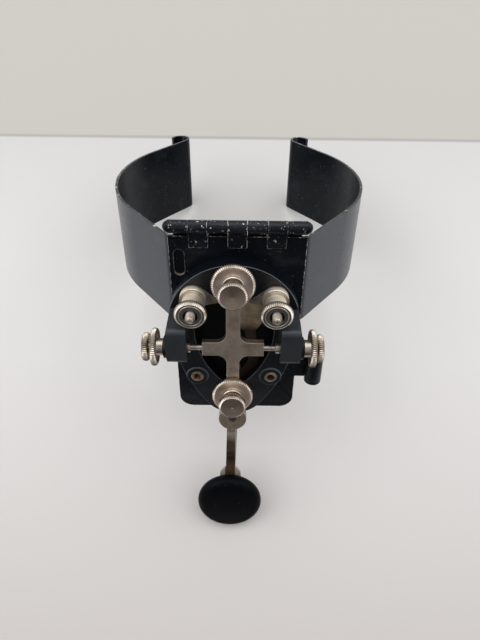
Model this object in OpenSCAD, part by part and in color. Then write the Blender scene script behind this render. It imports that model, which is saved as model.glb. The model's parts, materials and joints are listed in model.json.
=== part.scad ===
// Leg-clamp telegraph key: a sprung clamp for the thigh, a hinged plate and a straight key on it.
// Every piece is drawn in the bench frame: +X right, +Y to the hinge, +Z out of the plate's front
// face, with Y = 0 at the clamp's hinge edge. stand() then sets the key down the way it rests, on
// the two rear corners of the clamp and the rim of the knob, with +Z up.

/* [Leg clamp] */
// Radius of the leg that the arms close round
leg_r = 57.9; // [50:0.05:65]
// Thickness of the clamp's spring strip
clamp_t = 1.2; // [0.8:0.1:2]
// Width of the strip, along the leg
clamp_w = 40.5; // [30:0.5:50]
// Width of the flat bridge between the two front bends
bridge_w = 55; // [48:0.5:62]
// Room between the bridge and the leg
leg_gap = 1.5; // [0.5:0.1:6]
// Centreline radius of the front bends
bend_r = 4; // [2:0.5:8]
// How far each arm keeps to the leg behind its widest point, in degrees
arm_rear_a = 38; // [25:1:50]
// Straight tail of each arm before the rolled lip
arm_tail = 25; // [10:1:30]
// Centreline radius of the rolled lip
lip_r = 4.6; // [3:0.1:7]
// How far the lip is rolled, in degrees
lip_sweep = 205; // [150:1:240]

/* [Hinge] */
// Diameter of the hinge pin
hinge_pin_d = 2.8; // [2:0.1:4]
// Thickness of the sheet rolled round the pin
knuckle_t = 1.2; // [0.8:0.1:1.6]
// Length of all the knuckles together
hinge_w = 54; // [44:0.2:60]
// Number of knuckles, clamp and plate in turn
knuckle_n = 7; // [5:2:9]
// Gap between two knuckles
knuckle_gap = 0.2; // [0.1:0.05:0.5]
// Height of the pin's axis above the clamp's hinge edge
hinge_y = 5.6; // [4.8:0.1:8]
// How far each plate knuckle's tab laps down over the plate's front
tab_lap = 4.6; // [1:0.1:7]
// Diameter of the pin's two domed heads
pin_head_d = 4.8; // [4:0.1:6.5]
// Height of the domed heads
pin_head_h = 1.9; // [1:0.1:2.4]

/* [Key plate] */
// Width of the plate
plate_w = 55; // [50:0.5:62]
// Lower edge of the plate, below the clamp's hinge edge
plate_low = 93; // [84:0.5:105]
// Upper edge of the plate, above the clamp's hinge edge
plate_top = 1; // [0:0.1:1.6]
// Thickness of the plate
plate_t = 1.5; // [1:0.1:2]
// Gap between the closed plate and the bridge
plate_gap = 0.1; // [0.05:0.05:0.5]
// Radius of the plate's lower corners
plate_corner_r = 6.5; // [2:0.5:10]
// Width of the tie slot
slot_w = 4.3; // [3:0.1:5.6]
// Length of the tie slot
slot_l = 12; // [8:0.5:16]
// Distance of the slot's middle from the plate's left edge
slot_edge = 4; // [3.8:0.1:9]
// Distance of the slot's middle below the clamp's hinge edge
slot_low = 10.9; // [8:0.1:16]
// Outer radius of the rolled cord loop
loop_r = 3.9; // [3.2:0.1:6]
// Length of the cord loop
loop_l = 16; // [8:1:24]
// Sheet between the plate's edge and the loop
loop_neck = 4.2; // [3:0.1:9]
// Lower end of the loop, below the clamp's hinge edge
loop_low = 72.4; // [66:0.1:80]
// Open seam of the roll
loop_seam = 0.5; // [0.3:0.1:1.2]

/* [Base] */
// Middle of the base, to the right of the plate's middle
base_side = -1.1; // [-1.5:0.1:1.5]
// Radius of the base's round rear end
base_r = 27.4; // [25:0.1:31]
// Middle of the round rear end, below the clamp's hinge edge
base_mid = 35.2; // [34:0.1:40]
// Distance from that middle to the centre of the nose
base_run = 40.6; // [36:0.1:46]
// Radius of the nose
nose_r = 14.5; // [11:0.1:18]
// Thickness of the base
base_t = 7.2; // [6:0.1:9]
// Floor left under the recess
floor_t = 1.8; // [1.2:0.1:2.4]
// Radius of the recess at its round end
recess_r = 17; // [15:0.1:18]
// Middle of the recess's round end, below the clamp's hinge edge
recess_mid = 39.5; // [38:0.1:43]
// Distance from that middle to the centre of the recess's tip
recess_run = 29.5; // [26:0.1:33]
// Radius of the recess's tip
recess_tip_r = 4; // [3:0.1:6]
// Inner face of the pillars, from the middle
pillar_in = 18.9; // [18.2:0.1:21]
// Length of the pillars along the key
pillar_l = 16.8; // [13:0.1:18]
// Pillar behind the trunnion axis
pillar_back = 12; // [8:0.1:13]
// Pillar above the trunnion axis
pillar_cap = 5.4; // [5.2:0.1:8]
// Radius of the pillars' upper corners
pillar_corner_r = 2.5; // [1:0.1:4]
// Distance of each eyelet from the middle
eyelet_x = 16.6; // [15:0.1:18]
// Distance of the eyelets below the clamp's hinge edge
eyelet_low = 66; // [62:0.1:68]
// Bore of the eyelets
eyelet_bore_d = 3.2; // [2:0.1:3.6]
// Wall of the eyelets
eyelet_wall = 0.5; // [0.4:0.1:1]
// Width of the eyelets' rolled flange
eyelet_flange = 0.8; // [0.6:0.1:1.4]
// Diameter of the moulded boss round each eyelet
boss_d = 9.8; // [8.6:0.1:11]
// Height of the moulded boss
boss_h = 0.6; // [0.3:0.1:1.2]

/* [Lever] */
// Distance of the trunnion axis below the clamp's hinge edge
trunnion_low = 40.4; // [39:0.1:42]
// Height of the trunnion axis above the plate
trunnion_h = 17.8; // [16:0.1:20]
// Rest slope of the lever, knob end up, in degrees
lever_a = 8.5; // [7:0.1:10]
// How far the lever turns until the contacts close, in degrees
lever_travel = 1.5; // [0.8:0.1:2]
// Where the trunnion screws hold the lever, to the right of the middle
lever_side = -0.3; // [-0.5:0.1:0.5]
// Thickness of the lever
lever_t = 3.2; // [3:0.1:4]
// Length of the lever's cross arm
cross_w = 25.2; // [22:0.1:27]
// Width of the lever's cross arm
cross_h = 6.2; // [5.4:0.1:8]
// Width of the rear arm
rear_arm_w = 5.7; // [5:0.1:8]
// Width of the front arm
front_arm_w = 5.2; // [5:0.1:8]
// Radius of the fillets in the cross's corners
cross_fillet_r = 4; // [1:0.1:5]
// Distance from the trunnion to the rear screw
rear_d = 29.5; // [27:0.1:31]
// Distance from the trunnion to the spring screw
front_d = 21.9; // [20:0.1:23]
// Distance from the trunnion to the contacts
contact_d = 35.9; // [34.5:0.1:38]
// Diameter of the boss round each screw
screw_boss_d = 11; // [9:0.1:14]
// Diameter of the contact disc
contact_disc_d = 12.2; // [10:0.1:13]
// Diameter of the trunnion pins
pin_d = 2.4; // [2:0.1:2.6]
// Length of the trunnion pins inside the lever
pin_sunk = 4; // [3:0.1:6]

/* [Knob] */
// Diameter of the knob
knob_d = 31.75; // [28:0.05:36]
// Thickness of the knob at its rim
knob_t = 7.5; // [6:0.1:9]
// Height of the dome on the knob
knob_dome = 0.7; // [0.3:0.1:1.5]
// Distance from the contacts to the knob's axis
strip_l = 58.4; // [53:0.1:62]
// How far the strip is set to the left of the lever's line, in degrees
strip_yaw = 1.4; // [-3:0.1:3]
// How far the strip's knob end lies below its lever end
arm_drop = 9; // [6:0.1:11]
// Slope of the strip's gooseneck, in degrees
arm_slope = 18; // [15:1:45]
// Centreline radius of the gooseneck's bends
arm_bend_r = 8; // [3:0.1:10]
// Thickness of the strip
arm_t = 1.3; // [0.9:0.1:1.8]
// Width of the strip
arm_w = 4.7; // [4:0.1:7]
// Width of the strip's round ends
eye_d = 10.4; // [7.6:0.1:11]
// How far the strip keeps that width behind the knob's axis
paddle_l = 12.9; // [8:0.1:14]
// Thickness of the washer under the knob
knob_washer_t = 0.6; // [0.4:0.1:1]
// Diameter of the knob's screw
knob_screw_d = 3.4; // [2.5:0.1:4]
// Depth of the knob's screw in the knob
knob_screw_in = 4.6; // [3:0.1:5.2]

/* [Adjusting screws] */
// Diameter of the adjusting screws and trunnion screws
screw_d = 4.6; // [4:0.1:5]
// Diameter of the knurled heads on the lever
head_d = 11.6; // [10:0.1:13]
// Height of the knurled heads on the lever
head_t = 3.2; // [2.6:0.1:5]
// Diameter of the lever's lock nuts
lock_d = 17.4; // [15:0.1:18]
// Thickness of the lever's lock nuts at the rim
lock_t = 2.8; // [2.2:0.1:3.5]
// Diameter of the hub on the lever's lock nuts
lock_hub_d = 8.8; // [7.5:0.1:10.5]
// Height of that hub above the rim
lock_hub_h = 1.4; // [1:0.1:3]
// Bare screw between the front lock nut's hub and the head
front_neck = 2.7; // [0.5:0.1:4]
// Bare screw between the rear lock nut's hub and the head
rear_neck = 5.2; // [0.5:0.1:6]
// Diameter of the ball that ends the rear screw
ball_d = 3.6; // [3:0.1:3.8]
// Diameter of the knurled heads on the trunnion screws
trunnion_head_d = 11.8; // [10:0.1:14]
// Thickness of the knurled heads on the trunnion screws
trunnion_head_t = 2.7; // [2:0.1:4.5]
// Diameter of the trunnion lock nuts
trunnion_lock_d = 15.7; // [13:0.1:17]
// Thickness of the trunnion lock nuts at the rim
trunnion_lock_t = 2.6; // [2:0.1:3.5]
// Diameter of the trunnion lock nuts' hub
trunnion_hub_d = 7.2; // [6.4:0.1:9]
// Length of the trunnion lock nuts' hub
trunnion_hub_h = 2.4; // [1:0.1:3.5]
// Bare screw between each trunnion lock nut and its head, with the lever in the middle
trunnion_neck = 0.6; // [0.6:0.1:2]
// How far the trunnion screws stand out of the pillars, with the lever in the middle
trunnion_tip = 1.6; // [1.2:0.1:2.4]
// Depth of the cup that takes the lever's pin
cup_depth = 1.6; // [1:0.1:2.4]
// Wall of the pillars' bushings
bush_wall = 1.5; // [1:0.1:2]
// Width of the bushings' outer collar
bush_collar = 0.8; // [0.4:0.1:1.2]
// Thickness of the bushings' outer collar
bush_collar_t = 1.6; // [0.8:0.1:2]
// Bevel on the knurled rims
rim_bevel = 0.4; // [0.2:0.1:0.6]

/* [Binding posts] */
// Distance of each post from the middle
post_x = 16.7; // [15.8:0.1:17.5]
// Distance of the posts below the clamp's hinge edge
post_low = 22; // [20.5:0.1:23]
// Diameter of the studs
stud_d = 3.8; // [3:0.1:4.2]
// How far each stud stands out of its nut
stud_out = 3; // [1:0.1:6]
// Diameter of the fixed collars
collar_d = 10.6; // [9:0.1:12]
// Height of the fixed collars
collar_h = 3; // [2:0.1:4.5]
// Thickness of the pressure washers
post_washer_t = 0.8; // [0.5:0.1:1.2]
// Diameter of the thumb nuts
nut_d = 12.9; // [11:0.1:13]
// Height of the thumb nuts' knurled head
nut_head_h = 3.2; // [2.6:0.1:5]
// Diameter of the thumb nuts' shoulder
nut_shoulder_d = 8.4; // [7.4:0.1:10]
// Height of the thumb nuts' shoulder
nut_shoulder_h = 6.8; // [3:0.1:8]
// Thickness of the terminal lugs
lug_t = 0.8; // [0.5:0.1:1.2]
// Length of the lugs from the stud to the point
lug_l = 11; // [8:0.1:12]
// Direction of the lugs, below the line between the posts, in degrees
lug_a = 14; // [0:1:25]

/* [Contacts and spring] */
// Thickness of the contact strap
strap_t = 0.8; // [0.5:0.1:1]
// Radius of the corners of the strap's broad rear end
strap_rear_r = 4.7; // [3.6:0.1:5]
// Middle of the strap's rear end, from the right post towards the middle
strap_in = 5.6; // [4:0.1:8]
// Middle of the strap's rear end, from the right post towards the nose
strap_ahead = 9; // [7:0.1:12]
// How far the broad end reaches from there towards the middle
strap_broad = 4.6; // [3:0.1:5]
// How far the broad end reaches from there towards the nose
strap_broad_l = 8.2; // [6:0.1:10]
// Bend of the strap, to the right of its front end
strap_side = 9.2; // [9:0.1:10]
// Bend of the strap, behind its front end
strap_back = 15.5; // [14:0.1:17]
// Half width of the strap's tongue
strap_front_r = 2.4; // [2.2:0.1:2.6]
// Diameter of the contact points
point_d = 3.2; // [2:0.1:4]
// Height of each contact point
point_h = 1; // [0.6:0.1:1.5]
// Diameter of the lower contact's post
contact_post_d = 5.6; // [4:0.1:6.4]
// Diameter of the contacts' riveted shanks
rivet_d = 2.4; // [1.8:0.1:2.8]
// Diameter of the upper contact's rivet head
rivet_head_d = 3.6; // [3:0.1:5]
// Height of the upper contact's rivet head
rivet_head_h = 0.5; // [0.3:0.1:1]
// Diameter of the rear anvil
anvil_d = 7.6; // [6:0.1:8]
// Thickness of the rear anvil above the base
anvil_t = 1; // [0.6:0.1:1.5]
// Outer diameter of the return spring
spring_d = 5.4; // [5:0.1:5.6]
// Diameter of the spring's wire
wire_d = 0.7; // [0.5:0.05:0.8]
// Curls of the return spring
curl_n = 7; // [4:1:8]
// How far the spring screw stands out under the lever
spring_screw_out = 2.5; // [1.5:0.1:4]
// Thickness of the spring's seat
seat_t = 1; // [0.6:0.1:1.5]

/* [Clearances] */
// Radial clearance of parts that turn or slide
run = 0.05; // [0.02:0.01:0.1]
// Radial clearance of fixed fits
fit = 0.02; // [0.01:0.01:0.05]
// Gap between faces that turn on each other
face_gap = 0.05; // [0.02:0.01:0.2]
// Gap between the rear screw's tip and the anvil at rest
stop_gap = 0.05; // [0.02:0.01:0.2]
// Gap at each end of the spring
spring_gap = 0.15; // [0.1:0.05:0.4]

/* [Hidden] */
$fn = 64;
LEFT = -1;
RIGHT = 1;
strip_lap = 0.2;
strip_step = 0.01;
over = 1;

// Colours
enamel = "#1c2026";
phenolic = "#17171a";
nickel = "#b7b0a2";
brass = "#b3935a";
steel = "#8d8f92";

// Leg clamp, in plan: x to the side, z to the front
bridge_front = -plate_t - plate_gap;
bridge_mid = bridge_front - clamp_t / 2;
bridge_back = bridge_front - clamp_t;
leg_z = bridge_back - leg_gap - leg_r;
arm_r = leg_r + clamp_t / 2;
bend_x = bridge_w / 2;
bend_reach = norm([bend_x, bridge_mid - leg_z]);
bend_a = 90 - asin(arm_r / bend_reach) + atan2(bend_x, bridge_mid - leg_z);
bend_set = bend_r * tan(bend_a / 2);
arm_front = sqrt(bend_reach ^ 2 - arm_r ^ 2);
arm_sweep = 90 - bend_a + arm_rear_a;
lip_z = leg_z - (arm_r + lip_r) * sin(arm_rear_a) - arm_tail * cos(arm_rear_a);
clamp_rear_z = lip_z - lip_r - clamp_t / 2;

// Hinge
knuckle_r = hinge_pin_d / 2 + run + knuckle_t;
hinge_z = -plate_t + knuckle_r;
knuckle_pitch = hinge_w / knuckle_n;
link_rise = 0.4;
link_y = plate_top + link_rise;

// Key plate
loop_x = plate_w / 2 + loop_neck + loop_r;
loop_z = loop_r - plate_t;

// Base, from the plate's front face up
pillar_top = trunnion_h + pillar_cap;
pillar_out = sqrt(base_r ^ 2 - (trunnion_low - base_mid) ^ 2);
bush_d = screw_d + 2 * (run + bush_wall);
bush_collar_d = bush_d + 2 * bush_collar;
eyelet_d = eyelet_bore_d + 2 * eyelet_wall;
eyelet_head_d = eyelet_d + 2 * eyelet_flange;

// Lever frame: origin on the trunnion axis, y to the hinge along the lever, z square to it
lever_top = lever_t / 2;
arm_z = -lever_top - arm_t / 2;
eye_z = arm_z - arm_drop;
knob_low = eye_z + arm_t / 2 + knob_washer_t;
knob_edge_r = knob_t / 2;
knob_z = knob_low + knob_edge_r;
knob_rim_r = knob_d / 2 - knob_edge_r;
pin_tip = pillar_in - trunnion_tip + cup_depth - face_gap;
hub_top = lever_top + lock_t + lock_hub_h;

function bench_y(y, z) = y * cos(lever_a) + z * sin(lever_a) - trunnion_low;
function bench_z(y, z) = z * cos(lever_a) - y * sin(lever_a) + trunnion_h;
function lever_z(y, height) = (height - trunnion_h + y * sin(lever_a)) / cos(lever_a);

// Rear stop: a ball-ended screw over the anvil
anvil_top = base_t + anvil_t;
ball_z = lever_z(rear_d, anvil_top + stop_gap + ball_d / 2);
anvil_y = bench_y(rear_d, ball_z);

// Contacts: the points meet when the lever has turned through its travel
strap_z = floor_t;
point_low = arm_z - arm_t / 2 - point_h;
contact_y = bench_y(-contact_d, point_low);
contact_gap = contact_d * sin(lever_travel) + point_d / 2 * sin(lever_a) + stop_gap;
contact_top = bench_z(-contact_d, point_low) - contact_gap;

// Return spring, square to the lever under its screw
spring_r = (spring_d - wire_d) / 2;
seat_top = floor_t + seat_t;
spring_low = lever_z(-front_d, seat_top + spring_gap) + wire_d;
spring_high = -lever_top - spring_screw_out - spring_gap - wire_d;
seat_y = bench_y(-front_d, spring_low - wire_d);
seat_rim = 0.5;
seat_d = spring_d + 2 * seat_rim;
peg_h = 1.2;
peg_play = 0.6;
peg_d = spring_d - 2 * (wire_d + peg_play);

// Binding posts
collar_low = base_t + lug_t;
post_washer_low = collar_low + collar_h;
nut_low = post_washer_low + post_washer_t + face_gap;
nut_top = nut_low + nut_shoulder_h + nut_head_h;
stud_top = nut_top + stud_out;
stud_head_rim = 1.3;
stud_head_d = stud_d + 2 * stud_head_rim;
stud_head_h = 2;
stud_end_h = 0.8;

// Resting pose: the line under the clamp's rear corners and the knob's rim
knob_reach = contact_d + strip_l * cos(strip_yaw);
knob_y = bench_y(-knob_reach, knob_z);
knob_h = bench_z(-knob_reach, knob_z);
lean_y = knob_y + clamp_w - knob_rim_r * cos(lever_a);
lean_z = knob_h - clamp_rear_z + knob_rim_r * sin(lever_a);
stand_a = atan2(lean_y, lean_z) + acos(knob_edge_r / norm([lean_y, lean_z]));
stand_z = clamp_w * sin(stand_a) - clamp_rear_z * cos(stand_a);
front_y = knob_y * cos(stand_a) - knob_h * sin(stand_a)
    - knob_rim_r * cos(stand_a - lever_a) - knob_edge_r;
rear_y = -clamp_rear_z * sin(stand_a);
stand_y = -(front_y + rear_y) / 2;

// Frames

module stand() {
    translate([0, stand_y, stand_z])
        rotate([stand_a, 0, 0])
            children();
}

// The base's own middle line, a little beside the plate's
module on_base() {
    stand()
        translate([base_side, 0, 0])
            children();
}

module on_lever() {
    translate([lever_side, -trunnion_low, trunnion_h])
        rotate([-lever_a, 0, 0])
            children();
}

// The contact rivet's axis, with y back along the knob's strip
module on_strip() {
    on_lever()
        translate([0, -contact_d, 0])
            rotate(-strip_yaw)
                children();
}

// The trunnion axis, with z out of the pillar on the given side
module on_trunnion(side) {
    translate([0, -trunnion_low, trunnion_h])
        rotate([0, 90 * side, 0])
            children();
}

module on_post(side) {
    translate([side * post_x, -post_low, 0])
        children();
}

// A profile in y and z, drawn out along x
module along_x(x, length) {
    translate([x, 0, 0])
        rotate([90, 0, 90])
            linear_extrude(length)
                children();
}

// Shared shapes

// A stretch of bent strip: straight on, then whatever follows from its end. It is a hair thinner
// than the bends and runs a little way into them, so that the two join in one solid.
module straight(length, t, w) {
    translate([-strip_lap, strip_step - t / 2, 0])
        cube([length + 2 * strip_lap, t - 2 * strip_step, w]);
    translate([length, 0, 0])
        children();
}

// A bend of the strip, to the left for a positive angle
module bend(r, a, t, w) {
    side = sign(a);
    translate([0, side * r, 0])
        rotate(side > 0 ? -90 : 90 + a)
            rotate_extrude(angle = abs(a))
                translate([r - t / 2, 0])
                    square([t, w]);
    translate([r * sin(abs(a)), side * r * (1 - cos(a)), 0])
        rotate(a)
            children();
}

// An egg outline of three tangent arcs, round end at the origin and tip towards -y
module egg(r, run_l, tip_r) {
    flank_r = run_l ^ 2 / (2 * (r - tip_r)) + (r + tip_r) / 2;
    tip_y = -run_l * flank_r / (flank_r - tip_r);
    circle(r);
    translate([0, -run_l])
        circle(tip_r);
    intersection() {
        translate([flank_r - r, 0])
            circle(flank_r, $fn = 128);
        translate([r - flank_r, 0])
            circle(flank_r, $fn = 128);
        translate([-r, tip_y])
            square([2 * r, -tip_y]);
    }
}

// A cap of a sphere, flat side down
module dome(d, h) {
    ball = (d ^ 2 / 4 + h ^ 2) / (2 * h);
    intersection() {
        translate([0, 0, h - ball])
            sphere(ball);
        cylinder(d = d, h = h);
    }
}

module bevelled_disc(d, h, bevel) {
    rotate_extrude()
        polygon([
            [0, 0], [d / 2 - bevel, 0], [d / 2, bevel],
            [d / 2, h - bevel], [d / 2 - bevel, h], [0, h]
        ]);
}

module round_slot(w, l) {
    square([w, l - w], center = true);
    for (end = [-1, 1])
        translate([0, end * (l - w) / 2])
            circle(d = w);
}

// A lock nut, face down at z = 0, with a dished upper face and a hub
module lock_nut(d, t, hub_d, hub_h) {
    dish = 0.5;
    rim = 1.4;
    rotate_extrude()
        polygon([
            [screw_d / 2 + run, 0], [d / 2 - rim_bevel, 0], [d / 2, rim_bevel],
            [d / 2, t - rim_bevel], [d / 2 - rim_bevel, t], [d / 2 - rim, t],
            [d / 2 - rim - dish, t - dish], [hub_d / 2, t - dish], [hub_d / 2, t + hub_h],
            [screw_d / 2 + run, t + hub_h]
        ]);
}

// A knurled head, face up, with the punched dot in its middle
module thumb_head(d, h) {
    dot_d = 1.4;
    difference() {
        bevelled_disc(d, h, rim_bevel);
        translate([0, 0, h - dot_d / 2])
            cylinder(d1 = 0, d2 = dot_d, h = dot_d / 2);
    }
}

// Clamp and hinge

module clamp_arm() {
    translate([bend_x - bend_set, bridge_mid, 0])
        bend(bend_r, -bend_a, clamp_t, clamp_w)
            straight(arm_front - bend_set, clamp_t, clamp_w)
                bend(arm_r, -arm_sweep, clamp_t, clamp_w, $fn = 128)
                    straight(arm_tail, clamp_t, clamp_w)
                        bend(lip_r, lip_sweep, clamp_t, clamp_w);
}

module knuckle_ring() {
    translate([hinge_y, hinge_z])
        circle(knuckle_r);
}

module knuckle_bore() {
    translate([hinge_y, hinge_z])
        circle(hinge_pin_d / 2 + run);
}

// Draws a profile along every second knuckle, from the first or the second one on
module knuckles(first) {
    for (i = [first : 2 : knuckle_n - 1])
        along_x(i * knuckle_pitch - hinge_w / 2 + knuckle_gap / 2, knuckle_pitch - knuckle_gap)
            children();
}

// The strip's tongues that run up to its knuckles, on the flat of the bridge only
module clamp_links() {
    wrap_z = hinge_z - knuckle_r;
    intersection() {
        knuckles(0)
            polygon([
                [-strip_lap, bridge_back], [-strip_lap, bridge_front], [link_y, bridge_front],
                [hinge_y, wrap_z + knuckle_t / 2], [hinge_y, wrap_z], [link_y, bridge_back]
            ]);
        cube([2 * (bend_x - bend_set - strip_lap), clamp_w, leg_r], center = true);
    }
}

module leg_clamp() {
    color(enamel) stand() {
        rotate([90, 0, 0])
            translate([bend_set - bend_x, bridge_mid, 0])
                straight(2 * (bend_x - bend_set), clamp_t, clamp_w);
        for (side = [LEFT, RIGHT])
            on_side(side)
                rotate([90, 0, 0])
                    clamp_arm();
        knuckles(0)
            difference() {
                knuckle_ring();
                knuckle_bore();
            }
        clamp_links();
    }
}

module on_side(side) {
    mirror([side == LEFT ? 1 : 0, 0, 0])
        children();
}

module hinge_pin() {
    color(steel) stand()
        translate([0, hinge_y, hinge_z])
            for (side = [LEFT, RIGHT])
                rotate([0, 90 * side, 0]) {
                    cylinder(d = hinge_pin_d, h = hinge_w / 2 + face_gap);
                    translate([0, 0, hinge_w / 2 + face_gap])
                        dome(pin_head_d, pin_head_h);
                }
}

// Plate

module plate_outline() {
    half = plate_w / 2;
    inset = half - plate_corner_r;
    translate([-half, plate_corner_r - plate_low])
        square([plate_w, plate_low - plate_corner_r + plate_top]);
    translate([-inset, -plate_low])
        square([2 * inset, plate_corner_r]);
    for (side = [LEFT, RIGHT])
        translate([side * inset, plate_corner_r - plate_low])
            circle(plate_corner_r);
}

module plate_knuckle() {
    difference() {
        union() {
            knuckle_ring();
            translate([0, -plate_t])
                square([hinge_y, plate_t]);
            translate([plate_top - tab_lap, 0])
                square([hinge_y - plate_top + tab_lap, knuckle_t]);
        }
        knuckle_bore();
    }
}

module cord_loop() {
    difference() {
        union() {
            circle(loop_r);
            translate([-loop_r - loop_neck - over, -loop_r])
                square([loop_r + loop_neck + over, plate_t]);
        }
        circle(loop_r - plate_t);
        translate([-loop_r, plate_t - loop_r])
            square([loop_r, loop_seam]);
    }
}

module key_plate() {
    color(enamel) stand() {
        difference() {
            translate([0, 0, -plate_t])
                linear_extrude(plate_t)
                    difference() {
                        plate_outline();
                        translate([slot_edge - plate_w / 2, -slot_low])
                            round_slot(slot_w, slot_l);
                    }
            for (side = [LEFT, RIGHT])
                translate([base_side + side * eyelet_x, -eyelet_low, -plate_t - over])
                    cylinder(d = eyelet_d + 2 * fit, h = plate_t + 2 * over);
        }
        knuckles(1)
            plate_knuckle();
        translate([loop_x, loop_l - loop_low, loop_z])
            rotate([90, 0, 0])
                linear_extrude(loop_l)
                    cord_loop();
    }
}

// Base and what is fixed to it

module base_outline() {
    translate([0, -base_mid])
        egg(base_r, base_run, nose_r);
}

// A pillar seen along x, with rounded upper corners
module pillar_profile() {
    rear = pillar_back - trunnion_low;
    inset = pillar_corner_r;
    translate([rear - pillar_l, 0])
        square([pillar_l, pillar_top - inset]);
    translate([rear - pillar_l + inset, 0])
        square([pillar_l - 2 * inset, pillar_top]);
    for (y = [rear - inset, rear - pillar_l + inset])
        translate([y, pillar_top - inset])
            circle(inset);
}

module pillars() {
    intersection() {
        linear_extrude(pillar_top)
            base_outline();
        for (side = [LEFT, RIGHT])
            on_side(side)
                along_x(pillar_in, base_r)
                    pillar_profile();
    }
}

module base_body() {
    difference() {
        linear_extrude(base_t)
            base_outline();
        translate([0, -recess_mid, floor_t])
            linear_extrude(base_t)
                egg(recess_r, recess_run, recess_tip_r);
    }
    pillars();
    for (side = [LEFT, RIGHT])
        translate([side * eyelet_x, -eyelet_low, base_t - over])
            cylinder(d = boss_d, h = over + boss_h);
}

module base() {
    color(phenolic) on_base()
        difference() {
            base_body();
            for (side = [LEFT, RIGHT]) {
                translate([side * eyelet_x, -eyelet_low, -over])
                    cylinder(d = eyelet_d + 2 * fit, h = pillar_top);
                on_post(side)
                    translate([0, 0, -over]) {
                        cylinder(d = stud_d + 2 * fit, h = base_t + 2 * over);
                        cylinder(d = stud_head_d + 2 * fit, h = stud_head_h + over + fit);
                    }
                on_trunnion(side) {
                    translate([0, 0, pillar_in - over])
                        cylinder(d = bush_d + 2 * fit, h = base_r);
                    translate([0, 0, pillar_out])
                        cylinder(d = bush_collar_d + 2 * fit, h = base_r);
                }
            }
            for (y = [anvil_y, contact_y])
                translate([lever_side, y, floor_t])
                    cylinder(d = rivet_d + 2 * fit, h = base_t);
            strap_slot();
        }
}

// The corners and the bend of the strap's route, and the slot that its ends run into
strap_rear = [post_x - strap_in, -post_low - strap_ahead];
strap_inner = strap_rear - [strap_broad, 0];
strap_neck = strap_inner - [0, strap_broad_l];
strap_front = [lever_side, contact_y];
strap_mid = strap_front + [strap_side, strap_back];

module strap_outline(grow) {
    hull()
        for (corner = [strap_rear, strap_inner, strap_neck])
            translate(corner)
                circle(strap_rear_r + grow, $fn = 32);
    for (stretch = [[strap_neck, strap_mid], [strap_mid, strap_front]])
        hull()
            for (end = stretch)
                translate(end)
                    circle(strap_front_r + grow, $fn = 32);
}

module strap_slot() {
    translate([0, 0, strap_z])
        linear_extrude(strap_t + 2 * fit)
            strap_outline(fit);
}

module base_eyelets() {
    length = plate_t + base_t + boss_h;
    color(brass) on_base()
        for (side = [LEFT, RIGHT])
            translate([side * eyelet_x, -eyelet_low, -plate_t])
                difference() {
                    union() {
                        cylinder(d = eyelet_d, h = length);
                        translate([0, 0, length])
                            cylinder(d = eyelet_head_d, h = eyelet_wall);
                        translate([0, 0, -eyelet_wall])
                            cylinder(d = eyelet_head_d, h = eyelet_wall);
                    }
                    translate([0, 0, -eyelet_wall - over])
                        cylinder(d = eyelet_bore_d, h = length + 2 * (eyelet_wall + over));
                }
}

module pillar_bushings() {
    color(brass) on_base()
        for (side = [LEFT, RIGHT])
            on_trunnion(side)
                difference() {
                    union() {
                        translate([0, 0, pillar_in])
                            cylinder(d = bush_d, h = pillar_out - pillar_in + bush_collar_t);
                        translate([0, 0, pillar_out + fit])
                            cylinder(d = bush_collar_d, h = bush_collar_t - fit);
                    }
                    translate([0, 0, pillar_in - over])
                        cylinder(d = screw_d + 2 * run, h = base_r);
                }
}

module post_studs() {
    color(nickel) on_base()
        for (side = [LEFT, RIGHT])
            on_post(side) {
                cylinder(d = stud_head_d, h = stud_head_h);
                cylinder(d = stud_d, h = stud_top - stud_end_h);
                translate([0, 0, stud_top - stud_end_h])
                    dome(stud_d, stud_end_h);
            }
}

module post_collars() {
    color(nickel) on_base()
        for (side = [LEFT, RIGHT])
            on_post(side)
                translate([0, 0, collar_low])
                    difference() {
                        bevelled_disc(collar_d, collar_h, rim_bevel);
                        translate([0, 0, -over])
                            cylinder(d = stud_d + 2 * fit, h = collar_h + 2 * over);
                    }
}

// A terminal lug: round under the collar, drawn out to a point towards the middle
module post_lug(side) {
    point_r = 0.6;
    on_post(side)
        translate([0, 0, base_t])
            linear_extrude(lug_t)
                difference() {
                    hull() {
                        circle(d = collar_d, $fn = 32);
                        rotate(90 + side * (90 + lug_a))
                            translate([lug_l - point_r, 0])
                                circle(point_r, $fn = 32);
                    }
                    circle(d = stud_d + 2 * fit);
                }
}

module post_lug_left() {
    color(nickel) on_base()
        post_lug(LEFT);
}

module post_lug_right() {
    color(nickel) on_base()
        post_lug(RIGHT);
}

module rear_anvil() {
    color(nickel) on_base()
        translate([lever_side, anvil_y, 0]) {
            translate([0, 0, floor_t])
                cylinder(d = rivet_d, h = base_t - floor_t);
            translate([0, 0, base_t])
                cylinder(d = anvil_d, h = anvil_t);
        }
}

module contact_strap() {
    color(brass) on_base()
        translate([0, 0, strap_z])
            linear_extrude(strap_t)
                difference() {
                    strap_outline(0);
                    translate(strap_front)
                        circle(d = rivet_d + 2 * fit);
                }
}

module lower_contact() {
    color(nickel) on_base()
        translate([lever_side, contact_y, 0]) {
            translate([0, 0, strap_z])
                cylinder(d = rivet_d, h = base_t - strap_z);
            translate([0, 0, base_t])
                cylinder(d = contact_post_d, h = contact_top - point_h - base_t);
            translate([0, 0, contact_top - point_h])
                cylinder(d = point_d, h = point_h);
        }
}

module spring_seat() {
    color(nickel) on_base()
        translate([lever_side, seat_y, floor_t]) {
            cylinder(d = seat_d, h = seat_t);
            translate([0, 0, seat_t])
                cylinder(d = peg_d, h = peg_h);
        }
}

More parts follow.
